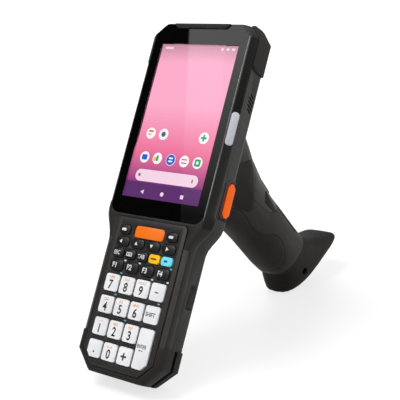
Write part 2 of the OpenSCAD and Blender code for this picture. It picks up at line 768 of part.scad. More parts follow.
module battery_cover() standing() color(CHARCOAL) {
    difference() {
        intersection() {
            body();
            translate([-60, cover_bottom + 0.7, -60])
                cube([120, cover_top - cover_bottom - 0.7 - cover_swing_gap, 60 + bay_wall_z - FIT]);
        }
        // room for the pack, open at the hook so that the cover swings clear of it
        translate([-battery_w / 2 - 0.4, cover_bottom, -keypad_depth + cover_t])
            cube([battery_w + 0.8, battery_y + battery_l / 2 + 0.4 - cover_bottom, 60]);
        latch_room();
    }
    translate([0, hook_y, hook_z]) rotate([0, 90, 0]) cylinder(r = hook_r, h = hook_l, center = true);
}

module latch_room() {
    gap = 0.3;
    translate([-latch_w / 2 - gap, latch_y - latch_l / 2 - latch_travel - gap, -60])
        cube([latch_w + 2 * gap, latch_l + latch_travel + 2 * gap, 60 + latch_z + 0.02]);
    translate([-4.3, latch_y, -60]) cube([8.6, 20, 60 + latch_z + 0.02]);
}

module battery_latch() standing() color(DARK) {
    difference() {
        translate([-latch_w / 2, latch_y - latch_l / 2, latch_z - 1.6]) cube([latch_w, latch_l, 1.5]);
        for (i = [-1 : 1]) translate([-latch_w / 2 + 2, latch_y + 1.8 * i - 0.4, latch_z - 2]) cube([latch_w - 4, 0.8, 0.8]);
    }
    translate([-4, latch_y, latch_z - 0.9]) cube([8, cover_top - latch_y + 0.9, 0.8]);
}

// ---------------------------------------------------------------- grip

// Oval ring between a front and a rear point, moved in by inset; rear_e is the exponent of its rear half
function oval_ring(s, front_e, inset, fullness, rear_e = grip_square) =
    let (
        f = [s[0], s[1]],
        r = [s[2], s[3]],
        mid = (f + r) / 2,
        dir = (f - r) / norm(f - r),
        half = norm(f - r) / 2 - inset,
        half_x = s[4] * fullness - inset
    )
    [for (i = [0 : ring_points - 1])
        let (
            a = -360 * i / ring_points,
            e = cos(a) < 0 ? rear_e : front_e,
            u = half * sign(cos(a)) * pow(abs(cos(a)), 2 / e),
            x = half_x * sign(sin(a)) * pow(abs(sin(a)), 2 / e)
        )
        [x, mid[0] + dir[0] * u, mid[1] + dir[1] * u]];

function moved(s, dy, dz) = s + [dy, dz, dy, dz, 0];

function grip_rings(inset) = [for (s = GRIP) oval_ring(s, grip_square, inset, grip_fullness)];

// Rings of the same form at a depth under its surface, run out past both ends
function inner_rings(depth) = concat(
    [oval_ring(moved(GRIP[0], 0, 3), grip_square, depth, grip_fullness)],
    grip_rings(depth),
    [oval_ring(moved(GRIP[len(GRIP) - 1], -0.8, -3), grip_square, depth, grip_fullness)]
);

function foot_rings(inset) = [for (i = [0 : len(FOOT) - 1]) let (t = i / (len(FOOT) - 1))
    oval_ring(FOOT[i], mixed(grip_square, sole_square, t), inset, mixed(grip_fullness, 1, t),
        mixed(grip_square, heel_square, t))];

// Middle of the grip at each station, and the side view outline of its spine
middle = [for (s = GRIP) [(s[0] + s[2]) / 2, (s[1] + s[3]) / 2]];
across_dir = [for (s = GRIP) let (d = [s[0] - s[2], s[1] - s[3]]) d / norm(d)];
last = len(GRIP) - 1;
spine_dir = (middle[last - 1] - middle[last]) / norm(middle[last - 1] - middle[last]);
spine_end = middle[last] - spine_reach * spine_dir;

function spine_points(gap) = let (h = spine_half + gap, end = spine_end - gap * spine_dir) concat(
    [for (i = [2 : last]) middle[i] + h * across_dir[i]],
    [end + h * across_dir[last], end - h * across_dir[last]],
    [for (i = [last : -1 : 2]) middle[i] - h * across_dir[i]]
);

// Side view outline of the window in which the trigger swings
window_points = [[24, -67.1], [24, -100.8], [-11, -94.2], [-24, -91.6], [-24, -67.1]];
// Side view outlines of the trigger surround, the palm pad and the front strap
SURROUND = [
    [20, -64.6], [-7, -65.4], [-25, -66.6], [-27.2, -70.5], [-28.3, -78], [-30.2, -87], [-27.6, -93.2],
    [-25, -97.4], [-20, -98], [20, -98]
];
PALM = [
    [-70, -50], [-36, -50], [-35.2, -58], [-37.2, -66], [-40.2, -73], [-42.7, -80], [-44, -87], [-43.1, -92],
    [-41.1, -97], [-40.7, -103], [-42.7, -109], [-46.2, -114.5], [-51.7, -119], [-57.7, -121.5], [-76, -122]
];
STRAP = [
    [10, -101], [-17, -101], [-23, -100.4], [-26, -102.4], [-27.2, -106], [-28.6, -111], [-30.7, -118], [-33.4, -126],
    [-20, -133], [10, -128]
];

module grip_skin(depth) {
    difference() {
        loft(grip_rings(0));
        loft(inner_rings(depth));
    }
}

module grip_half(side) {
    difference() {
        loft(grip_rings(0));
        loft(inner_rings(shell_t));
        translate([side > 0 ? -100 : 0, -200, -300]) cube([100, 400, 400]);
        across(60) polygon(softened(SURROUND, 2));
        intersection() {
            grip_skin(pad_t);
            across(60) {
                polygon(softened(PALM, 2));
                polygon(softened(STRAP, 2));
            }
        }
    }
}

module grip_shell_left() standing() color(DARK) grip_half(-1);
module grip_shell_right() standing() color(DARK) grip_half(1);

// Front of the grip round the trigger, joined above and below it
module trigger_surround() standing() color(DARK) difference() {
    intersection() {
        grip_skin(shell_t);
        across(60) offset(delta = -seam) polygon(softened(SURROUND, 2));
    }
    across(trigger_x + ear_gap) polygon(window_points);
    across(ear_x + 0.3) ear_outline(0.3);
}

module palm_pad() standing() color(SOFT_BLACK) intersection() {
    grip_skin(pad_t - 0.05);
    across(60) offset(delta = -seam) polygon(softened(PALM, 2));
}

module front_strap() standing() color(SOFT_BLACK) intersection() {
    grip_skin(pad_t - 0.05);
    across(60) offset(delta = -seam) polygon(softened(STRAP, 2));
}

// Side view outline of an ear for the trigger pin, moved out by gap
module ear_outline(gap) {
    r = ear_r + gap;
    polygon([
        [pin_y - 10, block_z + 6], [pin_y + 6 + gap, block_z + 6], [pin_y + r, pin_z], [pin_y - r, pin_z],
        [pin_y - 10, block_z - 1]
    ]);
    translate([pin_y, pin_z]) circle(r);
}

// Frame inside the shells: base on the terminal's back, block, spine, and ears for the trigger pin
module grip_frame() standing() color(STEEL) difference() {
    union() {
        intersection() {
            union() {
                translate([-base_x, base_rear_y, -head_depth - base_t]) cube([2 * base_x, base_l, base_t]);
                across(block_x) polygon([
                    [2, -head_depth - 1], [-4, block_z + 8], [-8, block_z], [block_rear_y, block_z + 4],
                    [block_rear_y, -head_depth - 1]
                ]);
            }
            loft(inner_rings(shell_t + FIT));
            slab(-100, -head_depth);
        }
        across(spine_x) polygon(spine_points(0));
        for (s = [0, 1]) mirror([s, 0, 0]) across(ear_x, trigger_x + ear_gap) ear_outline(0);
    }
    // room for the top of the trigger and for the foot of its spring
    translate([0, pin_y, pin_z]) rotate([0, 90, 0])
        cylinder(r = trigger_reach + trigger_gap, h = 2 * (trigger_x + ear_gap), center = true);
    across(spring_x + FIT) translate(spring_foot - [FIT, FIT]) square([10, spring_foot_h + 2 * FIT]);
    translate([0, pin_y, pin_z]) rotate([0, 90, 0]) cylinder(r = pin_r, h = 60, center = true);
    for (p = grip_screw_places()) translate([p[0], p[1], 0]) mirror([0, 0, 1]) {
        cylinder(r = screw_r + screw_fit, h = 60);
        translate([0, 0, grip_screw_seat - screw_head_t]) cylinder(r = screw_head_r + 0.3, h = 30);
    }
    foot_screw_line() cylinder(r = screw_r + screw_fit, h = foot_screw_l + 0.5);
}

// Places of the screws in the base of the grip
function grip_screw_places() = [for (x = [-1, 1], y = [grip_screw_rear_y, grip_screw_front_y])
    [x * grip_screw_x, y]];

// Line of the foot screw, +z from its head's outer face up into the spine
foot_screw_at = middle[last] + 3 * across_dir[last] - foot_screw_depth * spine_dir;
module foot_screw_line() {
    translate([0, foot_screw_at[0], foot_screw_at[1]]) rotate([-atan2(spine_dir[0], spine_dir[1]), 0, 0]) children();
}

module grip_foot() standing() color(SOFT_BLACK) difference() {
    loft(foot_rings(0));
    across(spine_x + 0.1) polygon(spine_points(0.1));
    translate([0, lanyard_y, lanyard_z]) rotate([0, 90, 0]) cylinder(r = lanyard_r, h = 80, center = true);
    foot_screw_line() {
        cylinder(r = screw_r + screw_fit, h = 30);
        translate([0, 0, -8]) cylinder(r = screw_head_r + 0.3, h = 8 + screw_head_t);
    }
}

// ---------------------------------------------------------------- trigger

// Side view outline of the trigger, with a hollow for the finger
trigger_face = [for (i = [0 : 12]) let (t = i / 12)
    [mixed(0.6, -13.0, t) - 1.6 * sin(180 * t), mixed(trigger_top, trigger_bottom, t)]];
trigger_outline = concat(trigger_face, [
    [-14.6, trigger_bottom - 1.3], [-18, trigger_bottom], [-20.4, trigger_bottom + 4.4], [-18.6, -77],
    [trigger_rear, pin_z - 1], [trigger_rear, trigger_top]
]);

module trigger() standing() color(CHARCOAL) difference() {
    intersection() {
        across(trigger_x) polygon(trigger_outline);
        union() {
            loft(grip_rings(-1));
            translate([-20, -32, -98]) cube([40, 15, 40]);
        }
    }
    translate([0, pin_y, pin_z]) rotate([0, 90, 0]) cylinder(r = pin_r + pin_fit, h = 60, center = true);
}

module trigger_pin() standing() color(STEEL)
    translate([0, pin_y, pin_z]) rotate([0, 90, 0]) cylinder(r = pin_r, h = 2 * ear_x, center = true);

// Leaf spring clipped on the spine, bearing on the back of the trigger
module trigger_spring() standing() color(STEEL) across(spring_x) polygon([
    spring_foot, spring_foot + [0.6, 0], [-21, -84.4], [-19.75, -82.6], [-20.15, -82.4], [-21.4, -84.2],
    spring_foot + [0, 0.8]
]);

// ---------------------------------------------------------------- screws

module screw(l) {
    difference() {
        union() {
            cylinder(r = screw_head_r, h = screw_head_t);
            cylinder(r = screw_r, h = l);
        }
        translate([0, 0, -EPS]) cylinder(r = 1, h = 0.9, $fn = 6);
    }
}

module screws() standing() color(STEEL) {
    for (p = housing_screw_places) translate([p[0], p[1], wall_z - 2.6 - screw_head_t]) screw(14);
    for (p = grip_screw_places()) translate([p[0], p[1], -grip_screw_seat]) screw(base_t + 6.5);
    foot_screw_line() screw(foot_screw_l);
}

// ---------------------------------------------------------------- nodes

front_housing();
back_housing();
cover_glass();
display_panel();
keypad_bezel();
keypad_mat();
main_board();
corner_bumpers();
bottom_bumper();
scan_window();
scan_engine();
side_key();
scan_key_right();
scan_key_left();
port_cover();
battery_pack();
battery_cover();
battery_latch();
grip_frame();
grip_shell_left();
grip_shell_right();
palm_pad();
front_strap();
grip_foot();
trigger();
trigger_pin();
trigger_spring();
trigger_surround();
screws();
for (k = KEYS) key(k);
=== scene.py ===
# %% [markdown]
# # A handheld barcode terminal on its pistol grip
#
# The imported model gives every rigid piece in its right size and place. This lesson dresses it:
# soft edges on the mouldings, procedural finishes, printed legends and the picture on the display.
# The terminal stands on a table on two points, the edge of its bottom bumper and the heel of its
# grip, so its display leans back. Most of its details are easier to think about on the flat face
# of the glass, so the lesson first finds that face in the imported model.

import json
import math

import bpy
from mathutils import Matrix, Vector

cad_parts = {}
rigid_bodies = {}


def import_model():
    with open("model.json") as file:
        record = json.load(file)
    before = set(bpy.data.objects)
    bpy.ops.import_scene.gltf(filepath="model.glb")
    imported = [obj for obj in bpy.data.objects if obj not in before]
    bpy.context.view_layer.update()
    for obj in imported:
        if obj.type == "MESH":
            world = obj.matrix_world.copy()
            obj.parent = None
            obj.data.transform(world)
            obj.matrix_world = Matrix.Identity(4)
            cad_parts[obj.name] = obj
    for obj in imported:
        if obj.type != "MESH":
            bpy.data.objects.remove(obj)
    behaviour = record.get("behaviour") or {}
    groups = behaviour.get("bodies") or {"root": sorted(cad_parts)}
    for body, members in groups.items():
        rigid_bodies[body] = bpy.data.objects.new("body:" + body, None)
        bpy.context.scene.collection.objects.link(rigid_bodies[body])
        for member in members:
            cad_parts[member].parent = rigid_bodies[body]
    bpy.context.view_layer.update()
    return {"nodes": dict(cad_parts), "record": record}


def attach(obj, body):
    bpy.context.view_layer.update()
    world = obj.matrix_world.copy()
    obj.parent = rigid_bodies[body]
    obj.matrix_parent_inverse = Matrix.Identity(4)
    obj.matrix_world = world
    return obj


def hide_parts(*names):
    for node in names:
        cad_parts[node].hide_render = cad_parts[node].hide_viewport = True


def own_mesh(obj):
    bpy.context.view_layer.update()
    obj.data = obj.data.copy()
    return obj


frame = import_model()
MM = 0.001

# %% [markdown]
# ## The terminal's own axes
#
# The glass is a flat plate, so its largest triangle tells which way it faces. With +X to the
# right on the object, the way up the display follows from the two. Reading the axes from the
# glass keeps every legend and mark on the keypad if the part leans at another angle one day.

# %% Find the face of the glass
def facing(node):
    """The direction that the largest triangle of a plate faces, turned towards the front."""
    normal = max(frame["nodes"][node].data.polygons, key=lambda p: p.area).normal.copy()
    return normal if normal.y < 0 else -normal


OUT = facing("cover_glass")
RIGHT = Vector((1, 0, 0))
UP = OUT.cross(RIGHT)


def reach(node, direction):
    """How far a node goes along a direction, as its lowest and highest value."""
    along = [v.co.dot(direction) for v in frame["nodes"][node].data.vertices]
    return min(along), max(along)


display_middle = sum(reach("display_panel", UP)) / 2
glass_face = reach("cover_glass", OUT)[1]
ORIGIN = UP * display_middle + OUT * glass_face
TERMINAL = Matrix.Translation(ORIGIN) @ Matrix((RIGHT, UP, OUT)).transposed().to_4x4()
INTO_TERMINAL = TERMINAL.inverted()
LEAN = math.degrees(math.asin(OUT.z))
print("the display leans back by", round(LEAN, 2), "degrees")


# %% Places on the terminal, in millimetres from the middle of the display
def at(x, y, z=0.0):
    """A point given on the terminal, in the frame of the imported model."""
    return TERMINAL @ (Vector((x, y, z)) * MM)


def extent(node):
    """Lowest and highest corner of a node, in millimetres on the terminal."""
    points = [INTO_TERMINAL @ v.co / MM for v in frame["nodes"][node].data.vertices]
    return tuple(Vector(pick(p[i] for p in points) for i in range(3)) for pick in (min, max))


def middle(node):
    """The middle of a node's extent, in millimetres on the terminal."""
    return sum(extent(node), Vector()) / 2


print("the orange scan key is at", [round(v, 1) for v in middle("key_scan")])

# %% [markdown]
# ## Camera
#
# The camera stands to the right of the terminal and a little above the table, far enough away
# for a long lens, so the long body hardly tapers. It is aimed at a point on the display and
# rolled, as a camera in the hand is.

# %% Set the camera
CAMERA_AT = (364.2, -117.2, 429.9)
CAMERA_AIM = (13.2, -39.7, -19.5)
CAMERA_ROLL = 14.32
CAMERA_LENS = 90.7


def camera_axes(eye, aim, roll):
    """A camera's matrix from where it stands, what it looks at and its roll in degrees."""
    back = (eye - aim).normalized()
    side = UP.cross(back).normalized()
    turned = Matrix((side, back.cross(side), back)).transposed().to_4x4()
    return Matrix.Translation(eye) @ turned @ Matrix.Rotation(math.radians(roll), 4, "Z")


def added(add, **settings):
    """The object that an operator adds, with nothing else selected."""
    bpy.ops.object.select_all(action="DESELECT")
    add(**settings)
    return bpy.context.object


camera = added(bpy.ops.object.camera_add)
camera.name = "camera"
camera.data.lens = CAMERA_LENS
camera.data.clip_start = 0.01
camera.matrix_world = camera_axes(at(*CAMERA_AT), at(*CAMERA_AIM), CAMERA_ROLL)
bpy.context.scene.camera = camera
print("camera height over the table in mm:", round(camera.matrix_world.translation.z / MM))

# %% [markdown]
# ## Helpers for node trees
#
# The table, the surroundings and every finish are node trees, and the same few nodes come back in
# all of them. These helpers make them, so that the later cells can say what is mixed with what.

# %% Start a material
def new_material(name):
    """A new material with its node tree and its shader."""
    material = bpy.data.materials.new(name)
    material.use_nodes = True
    return material, material.node_tree, material.node_tree.nodes["Principled BSDF"]


def finished(data, *finishes):
    """Gives a mesh its finishes, in the order of its slots."""
    data.materials.clear()
    for finish in finishes:
        data.materials.append(finish)


print("materials can be started")


# %% Add and feed nodes
def fill(socket, value):
    """Links an input to another node's output, or sets its number, vector or colour."""
    if isinstance(value, bpy.types.NodeSocket):
        socket.id_data.links.new(value, socket)
    else:
        socket.default_value = (*value, 1) if socket.type == "RGBA" else value


def feed(node, **values):
    """Fills inputs of a node by their names, with _ for each space."""
    for label, value in values.items():
        fill(node.inputs[label.replace("_", " ")], value)
    return node


def add_node(tree, kind, **values):
    """A new node of a kind, with some of its inputs filled."""
    return feed(tree.nodes.new(kind), **values)


def object_place(tree):
    """Object coordinates, which are the model's own and so stay with a piece that moves."""
    return add_node(tree, "ShaderNodeTexCoord").outputs["Object"]


print("nodes can be fed")


# %% Calculate and mix inside a node tree
VECTORS = "ShaderNodeVectorMath"


def math_node(tree, operation, *values, kind="ShaderNodeMath"):
    """The number that a math node works out. With VECTORS as its kind it takes vectors."""
    node = tree.nodes.new(kind)
    node.operation = operation
    for socket, value in zip(node.inputs, values):
        fill(socket, value)
    return node.outputs["Value"]


def ramp_between(tree, value, low, high, out_low=0.0, out_high=1.0):
    """A value mapped from one range to another, held inside it."""
    limits = {"From Min": low, "From Max": high, "To Min": out_low, "To Max": out_high}
    return add_node(tree, "ShaderNodeMapRange", Value=value, **limits).outputs["Result"]


def mixed_colour(tree, amount, a, b):
    """Two colours mixed by a value."""
    node = tree.nodes.new("ShaderNodeMix")
    node.data_type = "RGBA"
    for index, value in ((0, amount), (6, a), (7, b)):
        fill(node.inputs[index], value)
    return node.outputs[2]


print("helpers ready")

# %% [markdown]
# ## Table and light
#
# A plain pale sheet under the terminal keeps its shadow. For the camera, and where gloss mirrors
# it, the sheet is darker and glows instead, so that it stays white into the distance. Soft lamps
# and an even white surrounding light the terminal. What the camera sees of the world behind it is
# plain white.

# %% Lay the table
TABLE_M = 30.0
LIGHTING_GREY, SEEN_GREY = (0.86, 0.86, 0.86), (0.32, 0.32, 0.32)
GLOW_FROM_M, GLOW_TO_M = 0.3, 1.6
NEAR_GLOW, FAR_GLOW = 0.73, 0.95

table = added(bpy.ops.mesh.primitive_plane_add, size=TABLE_M, location=(0, 0, 0))
table.name = "table"

table_paper, tree, shader = new_material("table_paper")
path = add_node(tree, "ShaderNodeLightPath")
distance = math_node(tree, "LENGTH", object_place(tree), kind=VECTORS)
seen = math_node(tree, "MAXIMUM", path.outputs["Is Camera Ray"], path.outputs["Is Glossy Ray"])
glow = ramp_between(tree, distance, GLOW_FROM_M, GLOW_TO_M, NEAR_GLOW, FAR_GLOW)
feed(shader, Roughness=0.9, Specular_IOR_Level=0.1, Emission_Color=(1, 1, 1),
     Base_Color=mixed_colour(tree, seen, LIGHTING_GREY, SEEN_GREY),
     Emission_Strength=math_node(tree, "MULTIPLY", seen, glow))
finished(table.data, table_paper)
print("table:", table.name)

# %% Set the lamps
SURROUND_LIGHT = 0.4
LAMP_AIM = Vector((0, 0, 0.1))
# Each lamp is a soft square: where it stands and its size, in metres, and its watts.
LAMPS = {
    "lamp_over": ((-0.35, -0.45, 1.3), 0.6, 11),
    "lamp_front": ((0.06, -0.95, 1.0), 0.28, 1.2),
    "lamp_behind": ((1.15, 0.7, 0.45), 0.5, 5),
    "lamp_back": ((-0.9, 0.9, 0.75), 0.5, 6),
}
for name, (place, size, watts) in LAMPS.items():
    lamp = added(bpy.ops.object.light_add, type="AREA")
    lamp.name = name
    lamp.data.shape = "SQUARE"
    lamp.data.size = size
    lamp.data.energy = watts
    lamp.matrix_world = camera_axes(Vector(place), LAMP_AIM, 0)
print("lamps:", len(LAMPS))

# %% [markdown]
# ## What the gloss mirrors
#
# Glass that mirrors nothing looks like paint, and glass that mirrors an even white room turns
# grey. In a studio it mirrors a dark room with one white panel, whose straight edge then crosses
# the display. The world can do this without a panel: for glossy rays it is dark, and pale beyond
# a plane through the mirrored camera and two points on the glass. The paleness fades downwards.

# %% Where the mirrored panel lies
def mirrored_look(x, y):
    """The direction in which the glass mirrors the camera's look at one of its points."""
    eye = Vector((CAMERA_AT[0], CAMERA_AT[1], -CAMERA_AT[2]))
    return (TERMINAL.to_3x3() @ (Vector((x, y, 0)) - eye)).normalized()


# Points on the glass in millimetres: two on the panel's edge, one on its pale side, and the two
# between which it fades.
EDGE_THROUGH = (-8, 47), (5, -3)
PALE_AT = (25, 30)
FADE_FROM, FADE_TO = (15, 45), (25, -52)
panel_side = mirrored_look(*EDGE_THROUGH[0]).cross(mirrored_look(*EDGE_THROUGH[1])).normalized()
if panel_side.dot(mirrored_look(*PALE_AT)) < 0:
    panel_side.negate()
fade_top, fade_bottom = mirrored_look(*FADE_FROM).dot(UP), mirrored_look(*FADE_TO).dot(UP)
print("the panel fades over", round(math.degrees(fade_top - fade_bottom), 1), "degrees")

# %% The world
GLOSS_DARK, GLOSS_FADED, GLOSS_PALE = 0.018, 0.1, 1.8
EDGE_SOFTNESS = 0.001

world = bpy.data.worlds.new("studio")
bpy.context.scene.world = world
world.use_nodes = True
tree = world.node_tree
even = feed(tree.nodes["Background"], Color=(1, 1, 1), Strength=SURROUND_LIGHT)
room, backdrop = (add_node(tree, "ShaderNodeBackground", Color=(1, 1, 1)) for _ in range(2))
direction = add_node(tree, "ShaderNodeTexCoord").outputs["Generated"]
path = add_node(tree, "ShaderNodeLightPath")


def along(axis, *limits):
    """How far a direction goes along an axis, mapped from one range to another."""
    return ramp_between(tree, math_node(tree, "DOT_PRODUCT", direction, axis, kind=VECTORS), *limits)


def for_rays(kind, shown, otherwise):
    """One shader for the rays of a kind and another for the rest."""
    mix = tree.nodes.new("ShaderNodeMixShader")
    for socket, source in zip(mix.inputs, (path.outputs[kind], otherwise, shown)):
        fill(socket, source)
    return mix.outputs[0]


panel = math_node(tree, "MULTIPLY", along(panel_side, -EDGE_SOFTNESS, EDGE_SOFTNESS),
                  along(UP, fade_bottom, fade_top, GLOSS_FADED, GLOSS_PALE))
feed(room, Strength=math_node(tree, "ADD", panel, GLOSS_DARK))
lighting = for_rays("Is Glossy Ray", room.outputs[0], even.outputs[0])
feed(tree.nodes["World Output"], Surface=for_rays("Is Camera Ray", backdrop.outputs[0], lighting))
bpy.context.scene.view_settings.view_transform = "Standard"
print("surrounding light:", SURROUND_LIGHT)

# %% [markdown]
# ## Shared effects for the finishes
#
# A few small effects come back in most of the finishes, so each is a node group with named
# inputs and outputs: a place on the terminal in millimetres, the grain of a moulding, light wear
# on its edges, and handling marks. A group only puts out values. The shader stays in the material.

# %% Start and place a group
def new_group(name, inputs, *outputs):
    """A group with its input and output nodes. inputs are names with their default numbers."""
    group = bpy.data.node_groups.new(name, "ShaderNodeTree")
    for label, default in inputs.items():
        socket = group.interface.new_socket(label, in_out="INPUT", socket_type="NodeSocketFloat")
        socket.default_value = default
    for label in outputs:
        group.interface.new_socket(label, in_out="OUTPUT", socket_type="NodeSocketFloat")
    return group, group.nodes.new("NodeGroupInput"), group.nodes.new("NodeGroupOutput")


def per_mm(tree, size):
    """The scale of a texture that repeats after so many millimetres."""
    return math_node(tree, "DIVIDE", 1 / MM, size)


def place_group(tree, group, **values):
    """A group placed in a material, with its own values."""
    node = tree.nodes.new("ShaderNodeGroup")
    node.node_tree = group
    return feed(node, **values)


print("groups can be started")

# %% Group: a place on the terminal in millimetres
# A Mapping node of the Texture kind turns the model's coordinates back into the terminal's axes.
PLACE, _, end = new_group("place_on_terminal", {}, "Across", "Along")
flat = add_node(PLACE, "ShaderNodeMapping", Vector=object_place(PLACE), Location=ORIGIN,
                Rotation=TERMINAL.to_euler(), Scale=(MM, MM, MM))
flat.vector_type = "TEXTURE"
split = add_node(PLACE, "ShaderNodeSeparateXYZ", Vector=flat.outputs[0])
feed(end, Across=split.outputs["X"], Along=split.outputs["Y"])
print("group:", PLACE.name)

# %% Group: the grain of a moulding
# The mould of a plastic housing is etched, which leaves small rounded bumps all over.
GRAIN, start, end = new_group("mould_grain", {"Size mm": 0.5, "Unevenness": 0.5}, "Height", "Tone")
spot = object_place(GRAIN)
cells = add_node(GRAIN, "ShaderNodeTexVoronoi", Vector=spot, Scale=per_mm(GRAIN, start.outputs["Size mm"]))
cells.feature = "SMOOTH_F1"
feed(cells, Smoothness=0.6)
clouds = add_node(GRAIN, "ShaderNodeTexNoise", Vector=spot, Scale=60, Detail=4)
uneven = math_node(GRAIN, "SUBTRACT", clouds.outputs["Fac"], 0.5)
uneven = math_node(GRAIN, "MULTIPLY", uneven, start.outputs["Unevenness"])
feed(end, Height=cells.outputs["Distance"], Tone=math_node(GRAIN, "ADD", uneven, 0.5))
print("group:", GRAIN.name)

# %% Group: wear on the edges
# Hands and pockets polish the outer edges. Where the surface rounded over a small radius turns
# away from the real one there is an edge, and noise breaks the band up.
FLAT, TURNED = 0.995, 0.85
BARE, RUBBED = 0.42, 0.62
WEAR, start, end = new_group("edge_wear", {"Radius mm": 0.8, "Patch mm": 6.0}, "Wear")
radius = math_node(WEAR, "MULTIPLY", start.outputs["Radius mm"], MM)
rounded = add_node(WEAR, "ShaderNodeBevel", Radius=radius)
rounded.samples = 4
surface = add_node(WEAR, "ShaderNodeNewGeometry")
patches = add_node(WEAR, "ShaderNodeTexNoise", Vector=object_place(WEAR), Detail=5,
                   Scale=per_mm(WEAR, start.outputs["Patch mm"]))
match = math_node(WEAR, "DOT_PRODUCT", rounded.outputs["Normal"], surface.outputs["Normal"], kind=VECTORS)
edge = ramp_between(WEAR, match, FLAT, TURNED)
broken = ramp_between(WEAR, patches.outputs["Fac"], BARE, RUBBED)
feed(end, Wear=math_node(WEAR, "MULTIPLY", edge, broken))
print("group:", WEAR.name)

# %% Group: handling marks
# Wiped fingerprints change the gloss in large soft streaks with some fine specks of dust.
SMUDGE_FROM, SMUDGE_TO = 0.4, 0.7
DUST_FROM, DUST_TO = 0.68, 0.74
HANDLING, start, end = new_group("handling_marks", {"Streak mm": 18.0}, "Smudge", "Dust")
spot = object_place(HANDLING)
streaks = add_node(HANDLING, "ShaderNodeTexNoise", Vector=spot, Detail=3, Distortion=1.2,
                   Scale=per_mm(HANDLING, start.outputs["Streak mm"]))
specks = add_node(HANDLING, "ShaderNodeTexNoise", Vector=spot, Scale=2600)
feed(end, Smudge=ramp_between(HANDLING, streaks.outputs["Fac"], SMUDGE_FROM, SMUDGE_TO),
     Dust=ramp_between(HANDLING, specks.outputs["Fac"], DUST_FROM, DUST_TO))
print("group:", HANDLING.name)

# %% [markdown]
# ## Finishes
#
# Nearly every surface of the terminal is a moulding: grained housing plastic, soft rubber, glossy
# key caps. One function builds such a finish from the groups, and each finish gives it its own
# colours, gloss and grain. The colour varies a little with the tone of the grain and turns paler
# where the edges are worn.

# %% The function for a moulded finish
TONE_SHARE = 0.2
DUST_SHARE, SMUDGE_SHARE = 0.12, 0.6


def moulded(name, colour, pale, gloss, grain_mm, depth_mm, wear=0.6, wear_mm=0.8, shine=0.5):
    """A moulded finish. pale is its colour where worn, gloss its roughness there and elsewhere."""
    material, tree, shader = new_material(name)
    grain = place_group(tree, GRAIN, Size_mm=grain_mm, Unevenness=0.9)
    worn = place_group(tree, WEAR, Radius_mm=wear_mm)
    marks = place_group(tree, HANDLING)
    darker, paler = (tuple(c * share for c in colour) for share in (1 - TONE_SHARE, 1 + TONE_SHARE))
    toned = mixed_colour(tree, grain.outputs["Tone"], darker, paler)
    dust = math_node(tree, "MULTIPLY", marks.outputs["Dust"], DUST_SHARE)
    amount = math_node(tree, "MULTIPLY", worn.outputs["Wear"], wear)
    amount = math_node(tree, "ADD", amount, dust)
    amount.node.use_clamp = True
    smudge = math_node(tree, "MULTIPLY", marks.outputs["Smudge"], SMUDGE_SHARE)
    rubbed = math_node(tree, "MAXIMUM", smudge, amount)
    bump = add_node(tree, "ShaderNodeBump", Distance=depth_mm * MM, Height=grain.outputs["Height"])
    feed(shader, Specular_IOR_Level=shine, Base_Color=mixed_colour(tree, amount, toned, pale),
         Roughness=ramp_between(tree, rubbed, 0, 1, gloss[1], gloss[0]), Normal=bump.outputs[0])
    return material


print("moulded finishes ready")

# %% The moulded finishes of the housing
# Each has its colour, its colour where worn, its gloss there and elsewhere, and the size and
# depth of its grain in millimetres.
WORN_GREY = (0.10, 0.096, 0.09)
housing_black = moulded("housing_black", (0.0185, 0.0172, 0.0163), WORN_GREY,
                        (0.34, 0.48), 0.35, 0.016, shine=0.2)
# The rails beside the keys: glossier, and painted paler as a highlight.
rail_painted_highlight = moulded("rail_painted_highlight", (0.046, 0.0435, 0.0415), WORN_GREY,
                         (0.26, 0.36), 0.35, 0.014, shine=0.5)
bezel_black = moulded("bezel_black", (0.024, 0.0225, 0.0213), WORN_GREY,
                      (0.34, 0.48), 0.35, 0.014, shine=0.25)
# Painted shade: the slope beside the glass is darker than the housing, and duller.
slope_painted_shade = moulded("slope_painted_shade", (0.0135, 0.0126, 0.0119), (0.07, 0.067, 0.063),
                      (0.38, 0.5), 0.35, 0.014, wear=0.5, shine=0.12)
# Painted shade: a dull black for gaps, grooves, slots, holes and the rounded edges along seams.
groove_painted_shade = moulded("groove_painted_shade", (0.003, 0.003, 0.003), (0.006, 0.006, 0.006),
                       (0.6, 0.8), 0.4, 0.01, shine=0.2)
rim_gloss = moulded("rim_gloss", (0.014, 0.0135, 0.013), (0.1, 0.1, 0.1), (0.1, 0.16), 0.4, 0.002)
battery_wrap = moulded("battery_wrap", (0.02, 0.023, 0.035), (0.1, 0.1, 0.12), (0.35, 0.45), 0.3, 0.008)
circuit_board = moulded("circuit_board", (0.012, 0.07, 0.03), (0.1, 0.2, 0.1), (0.3, 0.4), 1.2, 0.01)
print("housing finishes ready")

# %% The moulded finishes of the grip and the rubber pieces
grip_black = moulded("grip_black", (0.02, 0.0178, 0.0155), (0.07, 0.065, 0.058),
                     (0.4, 0.54), 0.45, 0.022, wear=0.35, shine=0.1)
surround_black = moulded("surround_black", (0.034, 0.0315, 0.0285), (0.1, 0.094, 0.086),
                         (0.36, 0.5), 0.45, 0.022, shine=0.12)
rubber_black = moulded("rubber_black", (0.0195, 0.0182, 0.017), (0.055, 0.052, 0.048),
                       (0.5, 0.68), 0.6, 0.02, wear=0.3, shine=0.12)
pad_black = moulded("pad_black", (0.0175, 0.0156, 0.0137), (0.045, 0.041, 0.037),
                    (0.5, 0.65), 0.9, 0.035, wear=0.3, shine=0.08)
# Painted shade: the inlays' dark colour stands for the shade of a recess in the grip's side.
inlay_painted_shade = moulded("inlay_painted_shade", (0.0085, 0.0078, 0.007), (0.04, 0.037, 0.033),
                      (0.5, 0.65), 0.7, 0.03, wear=0.3, shine=0.08)
dark_plastic = moulded("dark_plastic", (0.006, 0.006, 0.0062), (0.05, 0.05, 0.05),
                       (0.3, 0.42), 0.3, 0.008, shine=0.35)
print("grip finishes ready")
